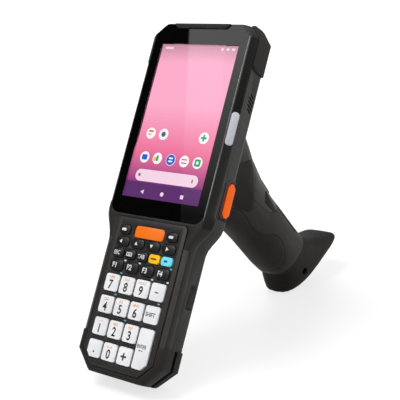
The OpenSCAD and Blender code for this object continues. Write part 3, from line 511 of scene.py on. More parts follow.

# %% Paint shade on the slope beside the glass
# Painted shade: the slope's colour is drawn towards black, most at the head and less towards the keypad.
DARK_ABOVE, PALE_BELOW = 10, -62
SLOPE_DARKEST, SLOPE_PALEST = 0.62, 0.05
NEARLY_BLACK = (0.001, 0.001, 0.001)

tree = slope_painted_shade.node_tree
place = place_group(tree, PLACE)
base = tree.nodes["Principled BSDF"].inputs["Base Color"]
amount = ramp_between(tree, place.outputs["Along"], PALE_BELOW, DARK_ABOVE, SLOPE_PALEST, SLOPE_DARKEST)
tree.links.new(mixed_colour(tree, amount, base.links[0].from_socket, NEARLY_BLACK), base)
print("slope darkened:", slope_painted_shade.name)

# %% The moulded finishes of the keys
def key_plastic(name, colour, pale, gloss=(0.25, 0.36), depth_mm=0.003, wear=0.4, shine=0.3):
    """The finish of a key cap, which is finer and glossier than the housing's."""
    return moulded(name, colour, pale, gloss, 0.5, depth_mm, wear, 0.4, shine)


KEY_FINISH = {
    "dark_key": key_plastic("dark_key", (0.013, 0.013, 0.014), (0.06, 0.06, 0.06), (0.2, 0.3), shine=0.5),
    "white_key": key_plastic("white_key", (0.87, 0.87, 0.895), (0.9, 0.9, 0.92)),
    "orange_key": key_plastic("orange_key", (0.98, 0.19, 0.008), (1.0, 0.36, 0.09), depth_mm=0.004, wear=0.5),
    "yellow_key": key_plastic("yellow_key", (1.0, 0.53, 0.008), (1.0, 0.65, 0.12)),
    "cyan_key": key_plastic("cyan_key", (0.17, 0.72, 0.90), (0.3, 0.78, 0.92)),
}
orange_edge = moulded("orange_edge", (0.42, 0.03, 0.002), (0.5, 0.08, 0.02),
                      (0.45, 0.55), 0.3, 0.006, wear=0.3, wear_mm=0.3, shine=0.1)
orange_rubber = moulded("orange_rubber", (1.0, 0.145, 0.003), (1.0, 0.28, 0.08),
                        (0.36, 0.48), 0.4, 0.006, wear=0.3, wear_mm=0.4, shine=0.12)
side_key_grey = moulded("side_key_grey", (0.55, 0.56, 0.62), (0.72, 0.73, 0.78),
                        (0.22, 0.32), 0.4, 0.004, wear=0.5, wear_mm=0.4)
silicone_grey = moulded("silicone_grey", (0.2, 0.2, 0.22), (0.3, 0.3, 0.32), (0.5, 0.6), 0.4, 0.006)
print("key finishes ready")

# %% [markdown]
# ## Metal
#
# The pin, the spring, the screws and the frame inside the grip are plain metal. Turned and rolled
# metal has fine lines in one direction, so stretched noise drives both the gloss and a small bump.

# %% The metal finish
LINE_STRETCH, LINE_DEPTH_MM = (0.08, 1, 1), 0.004


def metal(name, colour, rough, line_mm):
    """A metal with fine lines along X, a given distance apart."""
    material, tree, shader = new_material(name)
    squeeze = add_node(tree, "ShaderNodeMapping", Vector=object_place(tree), Scale=LINE_STRETCH)
    noise = add_node(tree, "ShaderNodeTexNoise", Vector=squeeze.outputs[0], Scale=1 / (line_mm * MM))
    lines = noise.outputs["Fac"]
    worn = place_group(tree, WEAR, Radius_mm=0.3)
    toned = mixed_colour(tree, lines, tuple(c * 0.85 for c in colour), colour)
    bump = add_node(tree, "ShaderNodeBump", Distance=LINE_DEPTH_MM * MM, Height=lines)
    feed(shader, Metallic=1.0, Base_Color=mixed_colour(tree, worn.outputs["Wear"], toned, (0.8, 0.8, 0.8)),
         Roughness=ramp_between(tree, lines, 0.3, 0.7, rough * 0.8, rough * 1.3), Normal=bump.outputs[0])
    return material


steel = metal("steel", (0.56, 0.56, 0.58), 0.3, 0.3)
frame_metal = metal("frame_metal", (0.42, 0.42, 0.43), 0.45, 0.8)
print("metals ready")

# %% [markdown]
# ## Glass, display and scanning window
#
# The cover glass is printed black on its back along the border and is clear over the display.
# Alpha does that here: it is full on the border and almost nothing over the lit part. The panel
# under it gets the gloss of glass itself, so the mirrored panel of light runs on across both.

# %% The cover glass
LIT_HALF_WIDTH, LIT_HALF_HEIGHT = 28.1, 46.8
PRINT_EDGE_MM = 0.12
CLEAR = 0.04


def inside_mask(tree, value, limit):
    """1 where a value is between minus and plus a limit, 0 outside."""
    size = math_node(tree, "ABSOLUTE", value)
    return ramp_between(tree, size, limit + PRINT_EDGE_MM / 2, limit - PRINT_EDGE_MM / 2)


cover_glass, tree, shader = new_material("cover_glass")
place = place_group(tree, PLACE)
marks = place_group(tree, HANDLING, Streak_mm=30.0)
lit = math_node(tree, "MULTIPLY", inside_mask(tree, place.outputs["Across"], LIT_HALF_WIDTH),
                inside_mask(tree, place.outputs["Along"], LIT_HALF_HEIGHT))
feed(shader, Alpha=ramp_between(tree, lit, 0, 1, 1.0, CLEAR),
     Base_Color=mixed_colour(tree, marks.outputs["Dust"], (0.001, 0.001, 0.001), (0.004, 0.004, 0.004)),
     Roughness=ramp_between(tree, marks.outputs["Smudge"], 0, 1, 0.006, 0.014))
print("lit part of the glass in mm:", 2 * LIT_HALF_WIDTH, "x", 2 * LIT_HALF_HEIGHT)

# %% Group: the cells of the panel
# Colours of a lit display are made by rows of tiny cells, which darken it by a few hundredths.
CELLS, start, end = new_group("panel_cells", {"Cell mm": 0.17}, "Dim")
cells = add_node(CELLS, "ShaderNodeTexVoronoi", Vector=object_place(CELLS),
                 Scale=per_mm(CELLS, start.outputs["Cell mm"]))
feed(end, Dim=ramp_between(CELLS, cells.outputs["Distance"], 0, 1, 0.0, 0.08))
print("group:", CELLS.name)


# %% Lit surfaces
def on_screen(red, green, blue):
    """A colour given as a display shows it, 0 to 255, as the linear numbers of a shader."""
    return tuple(((c / 255 + 0.055) / 1.055) ** 2.4 for c in (red, green, blue))


def lit_material(name, colour):
    """A material that glows through the cells of the panel, with the gloss of glass over it."""
    material, tree, shader = new_material(name)
    dim = place_group(tree, CELLS).outputs["Dim"]
    feed(shader, Emission_Color=mixed_colour(tree, dim, colour, (0, 0, 0)), Emission_Strength=1.08,
         Base_Color=(0.002, 0.002, 0.002), Roughness=0.01)
    return material


print("white as a display shows it:", on_screen(255, 255, 255))

# %% The picture on the panel
# A rosy ground that deepens downwards, and a violet bar with a straight edge along the bottom.
# Each stop is a height on the display in millimetres and a colour.
VIOLET, PLUM, ROSE = (95, 50, 110), (150, 60, 130), (240, 120, 160)
PINK, DUSK = (255, 175, 205), (200, 145, 165)
PICTURE = (-37.35, VIOLET), (-37.15, PLUM), (-18, ROSE), (10, PINK), (36, PINK), (46.8, DUSK)
display = lit_material("display", (0, 0, 0))
tree = display.node_tree
height = ramp_between(tree, place_group(tree, PLACE).outputs["Along"], -LIT_HALF_HEIGHT, LIT_HALF_HEIGHT)
picture = add_node(tree, "ShaderNodeValToRGB", Fac=height)
while len(picture.color_ramp.elements) < len(PICTURE):
    picture.color_ramp.elements.new(0.5)
for stop, (height_mm, colour) in zip(picture.color_ramp.elements, PICTURE):
    stop.position = (height_mm + LIT_HALF_HEIGHT) / (2 * LIT_HALF_HEIGHT)
    stop.color = (*on_screen(*colour), 1)
fill(tree.nodes["Mix"].inputs[6], picture.outputs[0])
print("stops in the picture:", len(PICTURE))

# %% The scanning window
window_red, tree, shader = new_material("window_red")
smudge = place_group(tree, HANDLING).outputs["Smudge"]
feed(shader, Coat_Weight=1.0, Roughness=ramp_between(tree, smudge, 0, 1, 0.05, 0.12),
     Base_Color=mixed_colour(tree, smudge, (0.06, 0.004, 0.008), (0.09, 0.008, 0.012)))
print("window:", window_red.name)

# %% [markdown]
# ## Soft edges on the mouldings
#
# No moulding has a knife edge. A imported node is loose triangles, so each is copied, its corners
# are welded, its flat faces are joined and a Bevel modifier rounds what turns sharply. The copy
# rides on the same body and stands for the node. Smooth shading by angle then hides the facets of
# the lofted grip and keeps the flats flat.

# %% Copy and weld a node
SLOT_OF = {part["node"]: part["material_slot"] for part in frame["record"]["subparts"]}
BODY_OF = {node: body for body, nodes in frame["record"]["behaviour"]["bodies"].items() for node in nodes}
WELD_MM = 0.002
JOIN_DEGREES, SMOOTH_DEGREES = 0.6, 40


def alone(piece):
    """Makes a piece the only selected and the active one."""
    bpy.ops.object.select_all(action="DESELECT")
    piece.select_set(True)
    bpy.context.view_layer.objects.active = piece


def edit(piece):
    """Opens a piece alone for editing, with all of it selected."""
    alone(piece)
    bpy.ops.object.mode_set(mode="EDIT")
    bpy.ops.mesh.select_all(action="SELECT")


def welded_copy(node, name):
    """A copy of a node with its corners welded, all of it selected and still open for editing."""
    piece = bpy.data.objects.new(name, frame["nodes"][node].data.copy())
    bpy.context.scene.collection.objects.link(piece)
    edit(piece)
    bpy.ops.mesh.remove_doubles(threshold=WELD_MM * MM)
    return piece


def apply_modifier(piece, kind, **settings):
    """Adds a modifier with its settings and applies it at once."""
    modifier = piece.modifiers.new(kind.lower(), kind)
    for label, value in settings.items():
        setattr(modifier, label, value)
    alone(piece)
    bpy.ops.object.modifier_apply(modifier=modifier.name)


def round_edges(piece, width_mm, segments, sharp, slot=-1):
    """Rounds what turns by more than an angle, in the finish of a slot or the one round it."""
    apply_modifier(piece, "BEVEL", width=width_mm * MM, segments=segments, limit_method="ANGLE",
                   angle_limit=math.radians(sharp), material=slot)


print("nodes by body:", len(BODY_OF))


# %% Dress a node
def dressed(node, material, edge_mm, sharp=30, segments=2, edge_finish=None):
    """A node's copy with flat faces joined, rounded edges and its finish, standing for the node."""
    piece = welded_copy(node, node + "_moulded")
    bpy.ops.mesh.dissolve_limited(angle_limit=math.radians(JOIN_DEGREES))
    bpy.ops.object.mode_set(mode="OBJECT")
    finished(piece.data, *filter(None, (material, edge_finish)))
    if edge_mm:
        round_edges(piece, edge_mm, segments, sharp, 1 if edge_finish else -1)
    bpy.ops.object.shade_smooth_by_angle(angle=math.radians(SMOOTH_DEGREES))
    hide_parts(node)
    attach(piece, BODY_OF[node])
    return piece


def repaint(piece, material, chosen):
    """Gives a second finish to the faces that a test of their middle and normal chooses."""
    piece.data.materials.append(material)
    turn = INTO_TERMINAL.to_3x3()
    faces = [f for f in piece.data.polygons
             if chosen(INTO_TERMINAL @ f.center / MM, (turn @ f.normal).normalized())]
    for face in faces:
        face.material_index = len(piece.data.materials) - 1
    print(piece.name, "has", len(faces), "faces", chosen.__name__)


print("ready to dress", len(frame["nodes"]), "nodes")

# %% Dress the housing and the bumpers
front_housing = dressed("front_housing", housing_black, 0.25, segments=3)
back_housing = dressed("back_housing", housing_black, 0.25)
keypad_bezel = dressed("keypad_bezel", bezel_black, 0.12)
dressed("battery_cover", housing_black, 0.25)
dressed("corner_bumpers", rubber_black, 0.3)
bottom_bumper = dressed("bottom_bumper", rubber_black, 0.3)
# The rounded edge round the port cover gets painted shade.
dressed("port_cover", rubber_black, 0.55, edge_finish=groove_painted_shade)
dressed("battery_latch", dark_plastic, 0.1)
print("housing dressed")

# %% [markdown]
# ## Faces with another finish
#
# Gaps, grooves, slots and holes get painted shade, a dull black. The slope beside the glass is
# duller than the housing and gets painted shade, the rails beside the keys are glossier and painted
# paler as a highlight, and the narrow rim at the glass shines. A test of a face's middle and normal chooses
# the faces of each.
# Most tests look round the extent of a node, with all sizes in millimetres. A limit for the normal
# tells how squarely a face may look outwards.

# %% What the tests look round
BEZEL, GLASS, BUMPER = extent("keypad_bezel"), extent("cover_glass"), extent("bottom_bumper")
PORT, SCAN_KEY = extent("port_cover"), extent("scan_key_right")
LANYARD = next(m for m in frame["record"]["mounts"] if m["name"] == "lanyard_hole")
LANYARD_AT = INTO_TERMINAL @ Vector(LANYARD["pos_m"]) / MM


def beside(place, box, margin, axes):
    """Whether a place is in a node's extent and a margin round it, looked at along some axes."""
    low, high = box
    return all(getattr(low, a) - margin < getattr(place, a) < getattr(high, a) + margin for a in axes)


print("lanyard hole at", [round(v, 1) for v in LANYARD_AT])

# %% Faces of the front housing and the bezel
GAP = 0.75
RIM_FROM, RIM_TO, RIM_LOW = 0.05, 0.95, -0.35
SLOPE_ACROSS, SLOPE_LOW, SLOPE_HIGH, SLOPE_BOTTOM = 33.5, -4.8, -0.15, -58
RAIL_FROM, RAIL_TOP = 0.7, -72


def in_bezel_gap(place, normal):
    return beside(place, BEZEL, GAP, "xy") and place.z > BEZEL[0].z - 0.05 and normal.z < 0.95


def on_glass_rim(place, normal):
    out = abs(place.x) - GLASS[1].x
    return RIM_FROM < out < RIM_TO and place.y > GLASS[0].y and place.z > RIM_LOW and normal.z > 0.2


def on_slope(place, normal):
    high = SLOPE_LOW < place.z < SLOPE_HIGH and place.y > SLOPE_BOTTOM
    return high and abs(place.x) > SLOPE_ACROSS and 0.3 < normal.z < 0.97


def on_rails(place, normal):
    return abs(place.x) > BEZEL[1].x + RAIL_FROM and place.y < RAIL_TOP and normal.z > 0.6


def on_bezel_walls(place, normal):
    return normal.z < 0.97


# The gap round the bezel gets painted shade.
repaint(front_housing, groove_painted_shade, in_bezel_gap)
# The slope beside the glass gets painted shade.
repaint(front_housing, slope_painted_shade, on_slope)
# The rails get a glossier finish that is painted paler as a highlight.
repaint(front_housing, rail_painted_highlight, on_rails)
repaint(front_housing, rim_gloss, on_glass_rim)
# The walls of the bezel round the keys get painted shade.
repaint(keypad_bezel, groove_painted_shade, on_bezel_walls)
print("front repainted")

# %% Faces of the back housing and the bottom bumper
GROOVE_OUT, GROOVE_HALF, GROOVE_DEEPER = -9.4, 1.8, 0.25
SLOTS_ACROSS, SLOTS_BOTTOM, SLOTS_TOP, SLOTS_LOW, SLOTS_HIGH = 34, 9, 24, -15, -6
PORT_ALONG, PORT_ROUND = 1.5, 0.6
POCKET, POCKET_DEPTH = 1.2, 1


def in_bumper_groove(place, normal):
    deeper = min(BUMPER[1].x - abs(place.x), place.y - BUMPER[0].y) > GROOVE_DEEPER
    return deeper and abs(place.z - GROOVE_OUT) < GROOVE_HALF


def in_sound_slots(place, normal):
    within = SLOTS_BOTTOM < place.y < SLOTS_TOP and SLOTS_LOW < place.z < SLOTS_HIGH
    return within and place.x > SLOTS_ACROSS and abs(normal.x) < 0.9


def in_port_recess(place, normal):
    within = beside(place, PORT, PORT_ALONG, "y") and beside(place, PORT, PORT_ROUND, "z")
    return within and place.x > PORT[0].x - PORT_ROUND and normal.x < 0.95


def in_scan_key_pockets(place, normal):
    outside = abs(place.x) > SCAN_KEY[0].x - POCKET_DEPTH
    return outside and beside(place, SCAN_KEY, POCKET, "yz") and abs(normal.x) < 0.85


# The bumper's groove, the sound slots, the port recess and the key pockets get painted shade.
repaint(bottom_bumper, groove_painted_shade, in_bumper_groove)
repaint(back_housing, groove_painted_shade, in_sound_slots)
repaint(back_housing, groove_painted_shade, in_port_recess)
repaint(back_housing, groove_painted_shade, in_scan_key_pockets)
print("back and bumper repainted")

# %% Dress the grip
GRIP_SHARP = 40
FOOT_HALF, HOLE_ROUND = 15.5, 2.7
# The rounded edges of the shells, the palm pad and the strap get painted shade, which darkens the seams.
for hand in ("left", "right"):
    dressed("grip_shell_" + hand, grip_black, 0.3, sharp=GRIP_SHARP, edge_finish=groove_painted_shade)
dressed("trigger_surround", surround_black, 0.2, sharp=GRIP_SHARP)
dressed("palm_pad", pad_black, 0.6, sharp=GRIP_SHARP, edge_finish=groove_painted_shade)
dressed("front_strap", pad_black, 0.5, sharp=GRIP_SHARP, edge_finish=groove_painted_shade)
grip_foot = dressed("grip_foot", pad_black, 0.5, sharp=GRIP_SHARP, segments=3)
dressed("trigger", dark_plastic, 0.4, sharp=GRIP_SHARP, segments=3)


def in_lanyard_hole(place, normal):
    off = place - LANYARD_AT
    return abs(off.x) < FOOT_HALF and abs(off.y) < HOLE_ROUND and abs(off.z) < HOLE_ROUND


# The lanyard hole gets painted shade.
repaint(grip_foot, groove_painted_shade, in_lanyard_hole)
print("grip dressed")

# %% [markdown]
# ## Inlays in the sides of the grip
#
# A soft panel lies in each side of the neck, and a smaller one in each cheek beside the
# trigger. Their dark colour is painted shade, standing for a recess there. They follow the moulding
# under them, so each is cut from a copy of its skin: planes trim the copy to the outline, with a few
# more planes round each corner, what doesn't face outwards is deleted, and the patch is thickened
# and gets a rounded edge in a darker painted shade.

# %% Outlines of the inlays
# Each edge is (along, out, offset): its inner side is where along * y + out * z + offset is
# positive, in millimetres. The edges follow one another round the outline.
NECK_EDGES = ((-0.393, 0.919, 52.2), (-0.916, -0.401, -26.7), (0, -1, -35), (1, 0, 34.8))
CHEEK_EDGES = ((0, -1, -80.6), (0.968, -0.25, 4.0), (-0.82, 0.573, 32.7))
NECK_CORNER, CHEEK_CORNER = 4, 1.2
CORNER_STEPS = 6


def with_round_corners(edges, radius):
    """The edges, and between each two of them the tangents of the arc that rounds their corner."""
    planes = list(edges)
    for (a, b, c), (d, e, f) in zip(edges, edges[1:] + edges[:1]):
        whole = a * e - b * d
        centre = Vector(((radius - c) * e - (radius - f) * b, (radius - f) * a - (radius - c) * d)) / whole
        for step in range(1, CORNER_STEPS):
            tangent = Vector((a, b)).lerp(Vector((d, e)), step / CORNER_STEPS).normalized()
            planes.append((*tangent, radius - tangent.dot(centre)))
    return planes


print("planes round a neck inlay:", len(with_round_corners(NECK_EDGES, NECK_CORNER)))


# %% Cut the inlays from the skin
INLAY_MM, INLAY_EDGE_MM, INLAY_EDGE_DEGREES = 0.3, 0.14, 50
SIDEWAYS, INNERMOST_MM = 0.5, 8


def inlay(name, node, edges, radius, side):
    """A thin panel on one side of a moulding, 1 for the right side and -1 for the left."""
    piece = welded_copy(node, name)
    for along_y, along_z, offset in with_round_corners(edges, radius):
        bpy.ops.mesh.select_all(action="SELECT")
        bpy.ops.mesh.bisect(plane_co=at(0, -offset * along_y, -offset * along_z), clear_inner=True,
                            plane_no=TERMINAL.to_3x3() @ Vector((0, along_y, along_z)))
    bpy.ops.mesh.select_all(action="DESELECT")
    bpy.ops.object.mode_set(mode="OBJECT")
    for face in piece.data.polygons:
        face.select = side * face.normal.x < SIDEWAYS or side * face.center.x < INNERMOST_MM * MM
    bpy.ops.object.mode_set(mode="EDIT")
    bpy.ops.mesh.delete(type="FACE")
    bpy.ops.object.mode_set(mode="OBJECT")
    # Painted shade on the patch, and a darker painted shade on its rounded edge.
    finished(piece.data, inlay_painted_shade, groove_painted_shade)
    apply_modifier(piece, "SOLIDIFY", thickness=INLAY_MM * MM, offset=1)
    round_edges(piece, INLAY_EDGE_MM, 2, INLAY_EDGE_DEGREES, slot=1)
    bpy.ops.object.shade_smooth_by_angle(angle=math.radians(SMOOTH_DEGREES))
    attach(piece, BODY_OF[node])
    return piece


for side, hand in ((1, "right"), (-1, "left")):
    neck = inlay("neck_inlay_" + hand, "grip_shell_" + hand, NECK_EDGES, NECK_CORNER, side)
    cheek = inlay("cheek_inlay_" + hand, "trigger_surround", CHEEK_EDGES, CHEEK_CORNER, side)
    print("faces of the inlays:", hand, len(neck.data.polygons), len(cheek.data.polygons))

# %% [markdown]
# ## Keys and the pieces inside
#
# Each key cap gets the finish that the record names for it. What lies inside needs no soft edges,
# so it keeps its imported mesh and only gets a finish, and so do the glass, the window and the screws.

# %% Dress the keys
KEYS = sorted(node for node in frame["nodes"] if node.startswith("key_"))
for node in KEYS:
    dressed(node, KEY_FINISH[SLOT_OF[node]], 0.35, segments=3)
for hand in ("right", "left"):
    dressed("scan_key_" + hand, orange_rubber, 0.8, segments=3, edge_finish=orange_edge)
dressed("side_key", side_key_grey, 0.25, segments=3)
print("keys dressed:", len(KEYS))

# %% Finish the rest
PLAIN = {"cover_glass": cover_glass, "display_panel": display, "keypad_mat": silicone_grey,
         "main_board": circuit_board, "scan_window": window_red, "scan_engine": dark_plastic,
         "battery_pack": battery_wrap, "grip_frame": frame_metal, "trigger_pin": steel, "screws": steel}
SOCKET_DEPTH = 9
for node, finish in PLAIN.items():
    finished(frame["nodes"][node].data, finish)


def in_socket(place, normal):
    return beside(place, PORT, 0, "yz") and place.x > PORT[0].x - SOCKET_DEPTH


repaint(frame["nodes"]["main_board"], steel, in_socket)
print("pieces with a finish alone:", len(PLAIN))

# %% The spring of the trigger
# The leaf is clipped on the frame by its foot and is pressed towards it as the trigger is pulled.
# Here it is only dressed in steel and given a mesh of its own, so it keeps its shape.
spring = dressed("trigger_spring", steel, 0)
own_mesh(spring)

# %% [markdown]
# ## Legends on the keys
#
# The legends are printed in ink that stands a few hundredths of a millimetre on the caps. Each is
# made flat, as text or as a plain outline. The caps are curved across only, so the flat piece is
# cut into narrow upright strips, which a Shrinkwrap modifier then lays onto the cap without
# sinking between its points. A Solidify modifier gives it the thickness of the ink.

# %% Ink
INK_MM = 0.04
INK_ROUGH, INK_ROUGHEST = 0.4, 0.6


def ink(name, colour):
    """Printed ink: a flat colour broken by the fine pores of the print."""
    material, tree, shader = new_material(name)
    pores = place_group(tree, GRAIN, Size_mm=0.12, Unevenness=0.5)
    broken = mixed_colour(tree, pores.outputs["Height"], colour, tuple(c * 0.75 for c in colour))
    feed(shader, Specular_IOR_Level=0.3, Base_Color=broken,
         Roughness=ramp_between(tree, pores.outputs["Tone"], 0, 1, INK_ROUGH, INK_ROUGHEST))
    return material


black_ink = ink("black_ink", (0.012, 0.012, 0.014))
grey_ink = ink("grey_ink", (0.06, 0.06, 0.065))
white_ink = ink("white_ink", (0.86, 0.86, 0.87))
orange_ink = ink("orange_ink", (0.95, 0.48, 0.2))
brown_ink = ink("brown_ink", (0.25, 0.1, 0.01))
blue_ink = ink("blue_ink", (0.02, 0.1, 0.3))
cyan_ink = ink("cyan_ink", (0.16, 0.45, 0.6))
print("inks ready")


# %% Flat text
def move_flat(piece, x, y, change):
    """Changes a flat piece by a matrix and moves it, in millimetres."""
    piece.data.transform(Matrix.Translation(Vector((x, y, 0)) * MM) @ change)
    return piece


def flat_text(words, size_mm, narrow, bold=0.02):
    """Text as a flat mesh round the origin."""
    letters = added(bpy.ops.object.text_add)
    letters.data.body = words
    letters.data.size = size_mm * MM
    letters.data.offset = bold * size_mm * MM
    bpy.ops.object.convert(target="MESH")
    piece = bpy.context.object
    piece.data.transform(Matrix.Translation(-sum((Vector(c) for c in piece.bound_box), Vector()) / 8))
    return move_flat(piece, 0, 0, Matrix.Diagonal((narrow, 1, 1, 1)))


print("text ready")


# %% Flat bars and discs
def flat_bar(width, height, x=0.0, y=0.0, round_corners=0.3):
    """A bar with its corners cut round, in millimetres."""
    plane = added(bpy.ops.mesh.primitive_plane_add, size=1)
    bar = move_flat(plane, x, y, Matrix.Diagonal((width * MM, height * MM, 1, 1)))
    edit(bar)
    bpy.ops.mesh.bevel(offset=min(width, height) * round_corners * MM, segments=4, affect="VERTICES")
    bpy.ops.object.mode_set(mode="OBJECT")
    return bar


def flat_disc(radius, corners, x=0.0, y=0.0, turn=0.0):
    """A disc, or with three corners a triangle that points up before it is turned."""
    disc = added(bpy.ops.mesh.primitive_circle_add, vertices=corners, radius=radius * MM, fill_type="NGON")
    return move_flat(disc, x, y, Matrix.Rotation(math.radians(turn), 4, "Z"))


def joined(*parts):
    """Several flat parts as one."""
    alone(parts[0])
    for part in parts[1:]:
        part.select_set(True)
    if len(parts) > 1:
        bpy.ops.object.join()
    return parts[0]


print("bars and discs ready")

# %% Put a flat outline on a cap
STRIP_MM = 0.6


def cut_into_strips(piece):
    """Cuts a flat piece by upright lines that stand a strip apart."""
    across = [corner[0] / MM for corner in piece.bound_box]
    edit(piece)
    for step in range(math.ceil(min(across) / STRIP_MM), math.floor(max(across) / STRIP_MM) + 1):
        bpy.ops.mesh.select_all(action="SELECT")
        bpy.ops.mesh.bisect(plane_co=(step * STRIP_MM * MM, 0, 0), plane_no=(1, 0, 0))
    bpy.ops.object.mode_set(mode="OBJECT")


def inked(piece, name, material, body):
    """Gives a flat piece the thickness of the ink, its finish and its body."""
    piece.name = piece.data.name = name
    apply_modifier(piece, "SOLIDIFY", thickness=INK_MM * MM, offset=0)
    finished(piece.data, material)
    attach(piece, body)


def put_on_key(piece, key, x, y, material, name=None):
    """Lays a flat piece drawn round the origin onto the cap of a key."""
    node = "key_" + key
    centre, high = middle(node), extent(node)[1]
    cut_into_strips(piece)
    over_cap = Vector((centre.x + x, centre.y + y, high.z + 1)) * MM
    piece.data.transform(TERMINAL @ Matrix.Translation(over_cap))
    apply_modifier(piece, "SHRINKWRAP", wrap_method="NEAREST_SURFACEPOINT", wrap_mode="ABOVE_SURFACE",
                   offset=INK_MM * MM / 2, target=frame["nodes"][node])
    inked(piece, name or "legend_" + key, material, BODY_OF[node])


print("strips of", STRIP_MM, "mm")

# %% Print the digits and the small letters over them
DIGIT_MM, DIGIT_NARROW = 7.1, 0.86
SMALL_MM, SMALL_NARROW = 2.1, 0.95
SMALL_AT = (-0.4, 2.9)
LETTERS = {"2": "ABC", "3": "DEF", "4": "GHI", "5": "JKL", "6": "MNO", "7": "PQRS", "8": "TUV", "9": "WXYZ"}
for digit in "0123456789":
    put_on_key(flat_text(digit, DIGIT_MM, DIGIT_NARROW), digit, -0.2, -1.2, black_ink)
for digit, letters in LETTERS.items():
    put_on_key(flat_text(letters, SMALL_MM, SMALL_NARROW), digit, *SMALL_AT, orange_ink, "letters_" + digit)
space = flat_bar(3.4, 0.45, y=-0.5), flat_bar(0.45, 1.1, x=-1.5), flat_bar(0.45, 1.1, x=1.5)
put_on_key(joined(*space), "0", *SMALL_AT, orange_ink, "space_mark")
dots = (flat_disc(0.33, 12, x=x) for x in (-1.3, 0, 1.3))
put_on_key(joined(*dots), "1", *SMALL_AT, orange_ink, "dots_mark")
print("digits printed")

# %% Print the words
for number in "1234":
    put_on_key(flat_text("F" + number, 4.2, 0.95, bold=0.03), "f" + number, -1.2, 0, white_ink)
put_on_key(flat_text("ESC", 3.3, 0.88), "escape", -0.5, 0, white_ink)
put_on_key(flat_text("TAB", 3.3, 0.88), "tab", -0.5, 0, white_ink)
put_on_key(flat_text("SHIFT", 3.2, 0.9), "shift", -0.6, 0, grey_ink)
arrow = flat_bar(2.6, 0.35, x=0.3, y=-2.3), flat_disc(0.6, 3, x=-1.1, y=-2.3, turn=90)
put_on_key(joined(flat_text("ENTER", 2.9, 0.82), *arrow), "enter", -0.9, 1.2, grey_ink)
print("words printed")

# %% Print the arrows and the plain marks
ARROWS = {"up": (0, -0.2), "down": (180, 0.2), "left": (90, 0), "right": (-90, 0)}
for way, (turn, y) in ARROWS.items():
    put_on_key(flat_disc(1.35, 3, turn=turn), way, -0.8, y, white_ink)
for side in ("left", "right"):
    put_on_key(flat_bar(3.3, 1.5), "soft_" + side, -0.4, 0, white_ink)
panel = [flat_bar(4.2, 0.5, y=y) for y in (0.85, -0.85)] + [flat_bar(0.5, 2.1, x=x) for x in (-1.9, 1.9)]
put_on_key(joined(*panel, flat_bar(2.2, 0.5)), "display", -0.4, 0, white_ink)
put_on_key(flat_bar(4.2, 1.1), "yellow", -0.4, 0, brown_ink)
put_on_key(flat_bar(2.6, 1.2), "cyan", -0.6, 0, blue_ink)
put_on_key(flat_bar(2.6, 0.6), "minus", -0.2, -0.3, black_ink)
cross = flat_bar(4.2, 1.1, round_corners=0.1), flat_bar(1.1, 4.2, round_corners=0.1)
put_on_key(joined(*cross), "plus", -0.3, -0.3, grey_ink)
put_on_key(flat_disc(0.55, 20), "point", 0.3, -1.8, black_ink)
print("marks printed")

# %% [markdown]
# ## Small marks on the bezel
#
# Between the rows of keys the bezel carries small second functions, too small to read at arm's
# length. Short bars in white, blue and grey ink stand for them.

# %% Print the marks between the rows
def bezel_marks(name, places, width, height, material):
    """Short bars on the flat face of the bezel, all one piece."""
    bars = joined(*(flat_bar(width, height, x, y) for x, y in places))
    bars.data.transform(TERMINAL @ Matrix.Translation((0, 0, (BEZEL[1].z + INK_MM / 2) * MM)))
    inked(bars, name, material, BODY_OF["keypad_bezel"])


WHITE_AT = (-11.8, -83.7), (-1, -83.7), (10.6, -91.2), (21.7, -91.1)
BLUE_AT = (21.7, -83.6), (-12.4, -91.1), (-12.5, -103.6), (19.5, -103.5), (-0.9, -116.3)
GREY_AT = (10.6, -83.4), (10.6, -103.7), (11.2, -116.4)
bezel_marks("marks_white", WHITE_AT, 1.5, 0.8, white_ink)
bezel_marks("marks_blue", BLUE_AT, 1.6, 0.8, cyan_ink)
bezel_marks("marks_grey", GREY_AT, 1.4, 0.7, grey_ink)
print("marks on the bezel:", len(WHITE_AT + BLUE_AT + GREY_AT))

# %% [markdown]
# ## What the display shows
#
# A plain start page: discs for programs with simple signs in them, a pill for a search field,
# small bars for the status line and three marks on the violet bar. They are thin plates just
# inside the glass, so they stay on the panel from every side, and they glow as the panel does.

# %% The lit marks
PAGE_Z, SIGN_Z, DETAIL_Z = -1.12, -1.04, -0.96
DISC_MM = 3.4
COLUMNS, DISC_ROW, DOCK_ROW = (-19.6, -10, 0, 9.8, 19.4), -8, -22.5
SEARCH_Y, STATUS_Y, BAR_Y = -33.2, 44.6, -42.9


def lit_marks(name, height, colour, *parts):
    """Flat parts at a height on the terminal, just inside the glass, as one glowing piece."""
    piece = joined(*parts)
    piece.data.transform(TERMINAL @ Matrix.Translation((0, 0, height * MM)))
    inked(piece, name, lit_material("lit_" + name, on_screen(*colour)), BODY_OF["display_panel"])


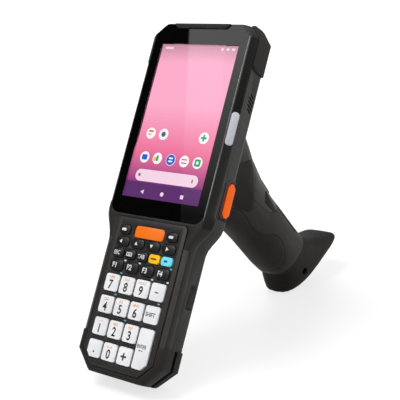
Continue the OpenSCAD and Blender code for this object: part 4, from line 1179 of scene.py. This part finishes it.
PAGE = [(COLUMNS[i], DISC_ROW) for i in (0, 1, 4)] + [(x, DOCK_ROW) for x in COLUMNS]
lit_marks("discs", PAGE_Z, (250, 246, 250), *(flat_disc(DISC_MM, 48, x, y) for x, y in PAGE))
lit_marks("search_field", PAGE_Z, (246, 214, 232), flat_bar(46, 7, 0, SEARCH_Y, 0.49))
lit_marks("status_line", PAGE_Z, (238, 214, 224),
          flat_bar(6, 1.3, -22.5, STATUS_Y), flat_disc(0.9, 24, 16.5, STATUS_Y),
          flat_bar(2.2, 1.3, 20.4, STATUS_Y), flat_bar(2.6, 1.3, 24.2, STATUS_Y))
lit_marks("bar_marks", PAGE_Z, (236, 214, 240), flat_disc(1.5, 3, -14.5, BAR_Y, 90),
          flat_disc(1.25, 32, 0, BAR_Y), flat_bar(2.2, 2.2, 14.5, BAR_Y, 0.1))
print("discs on the display:", len(PAGE))


# %% The small signs inside the discs
def bar_in(disc, width, height, x=0.0, y=0.0, round_corners=0.3):
    """A bar that is placed from the middle of a disc."""
    return flat_bar(width, height, PAGE[disc][0] + x, PAGE[disc][1] + y, round_corners)


lit_marks("signs_blue", SIGN_Z, (45, 100, 205), flat_disc(3.1, 48, *PAGE[5]),
          bar_in(3, 4, 3.2, round_corners=0.2))
lit_marks("signs_green", SIGN_Z, (40, 165, 110), bar_in(2, 4, 1.2), bar_in(2, 1.2, 4),
          bar_in(4, 1.6, 3.4), bar_in(7, 4.2, 4.2, round_corners=0.2))
lit_marks("signs_red", SIGN_Z, (215, 70, 60), bar_in(0, 3.6, 1, y=1.2, round_corners=0.4),
          bar_in(6, 3.8, 0.7, y=1), bar_in(6, 3.8, 0.7, y=-1))
lit_marks("signs_yellow", SIGN_Z, (240, 185, 50), bar_in(4, 1.6, 2.4, -1.8, -0.5),
          bar_in(0, 2.4, 1, -0.6, -0.8, 0.4))
lit_marks("signs_grey", SIGN_Z, (95, 100, 120), flat_disc(1.6, 24, *PAGE[1]),
          flat_disc(0.9, 24, -20, SEARCH_Y), flat_bar(0.8, 2.2, 19, SEARCH_Y, 0.4))
lit_marks("signs_white", DETAIL_Z, (250, 250, 252), bar_in(5, 3, 0.9, y=0.9, round_corners=0.4),
          bar_in(5, 3, 0.9, y=-0.9, round_corners=0.4), bar_in(7, 1.6, 1.6, round_corners=0.2))
print("signs drawn")
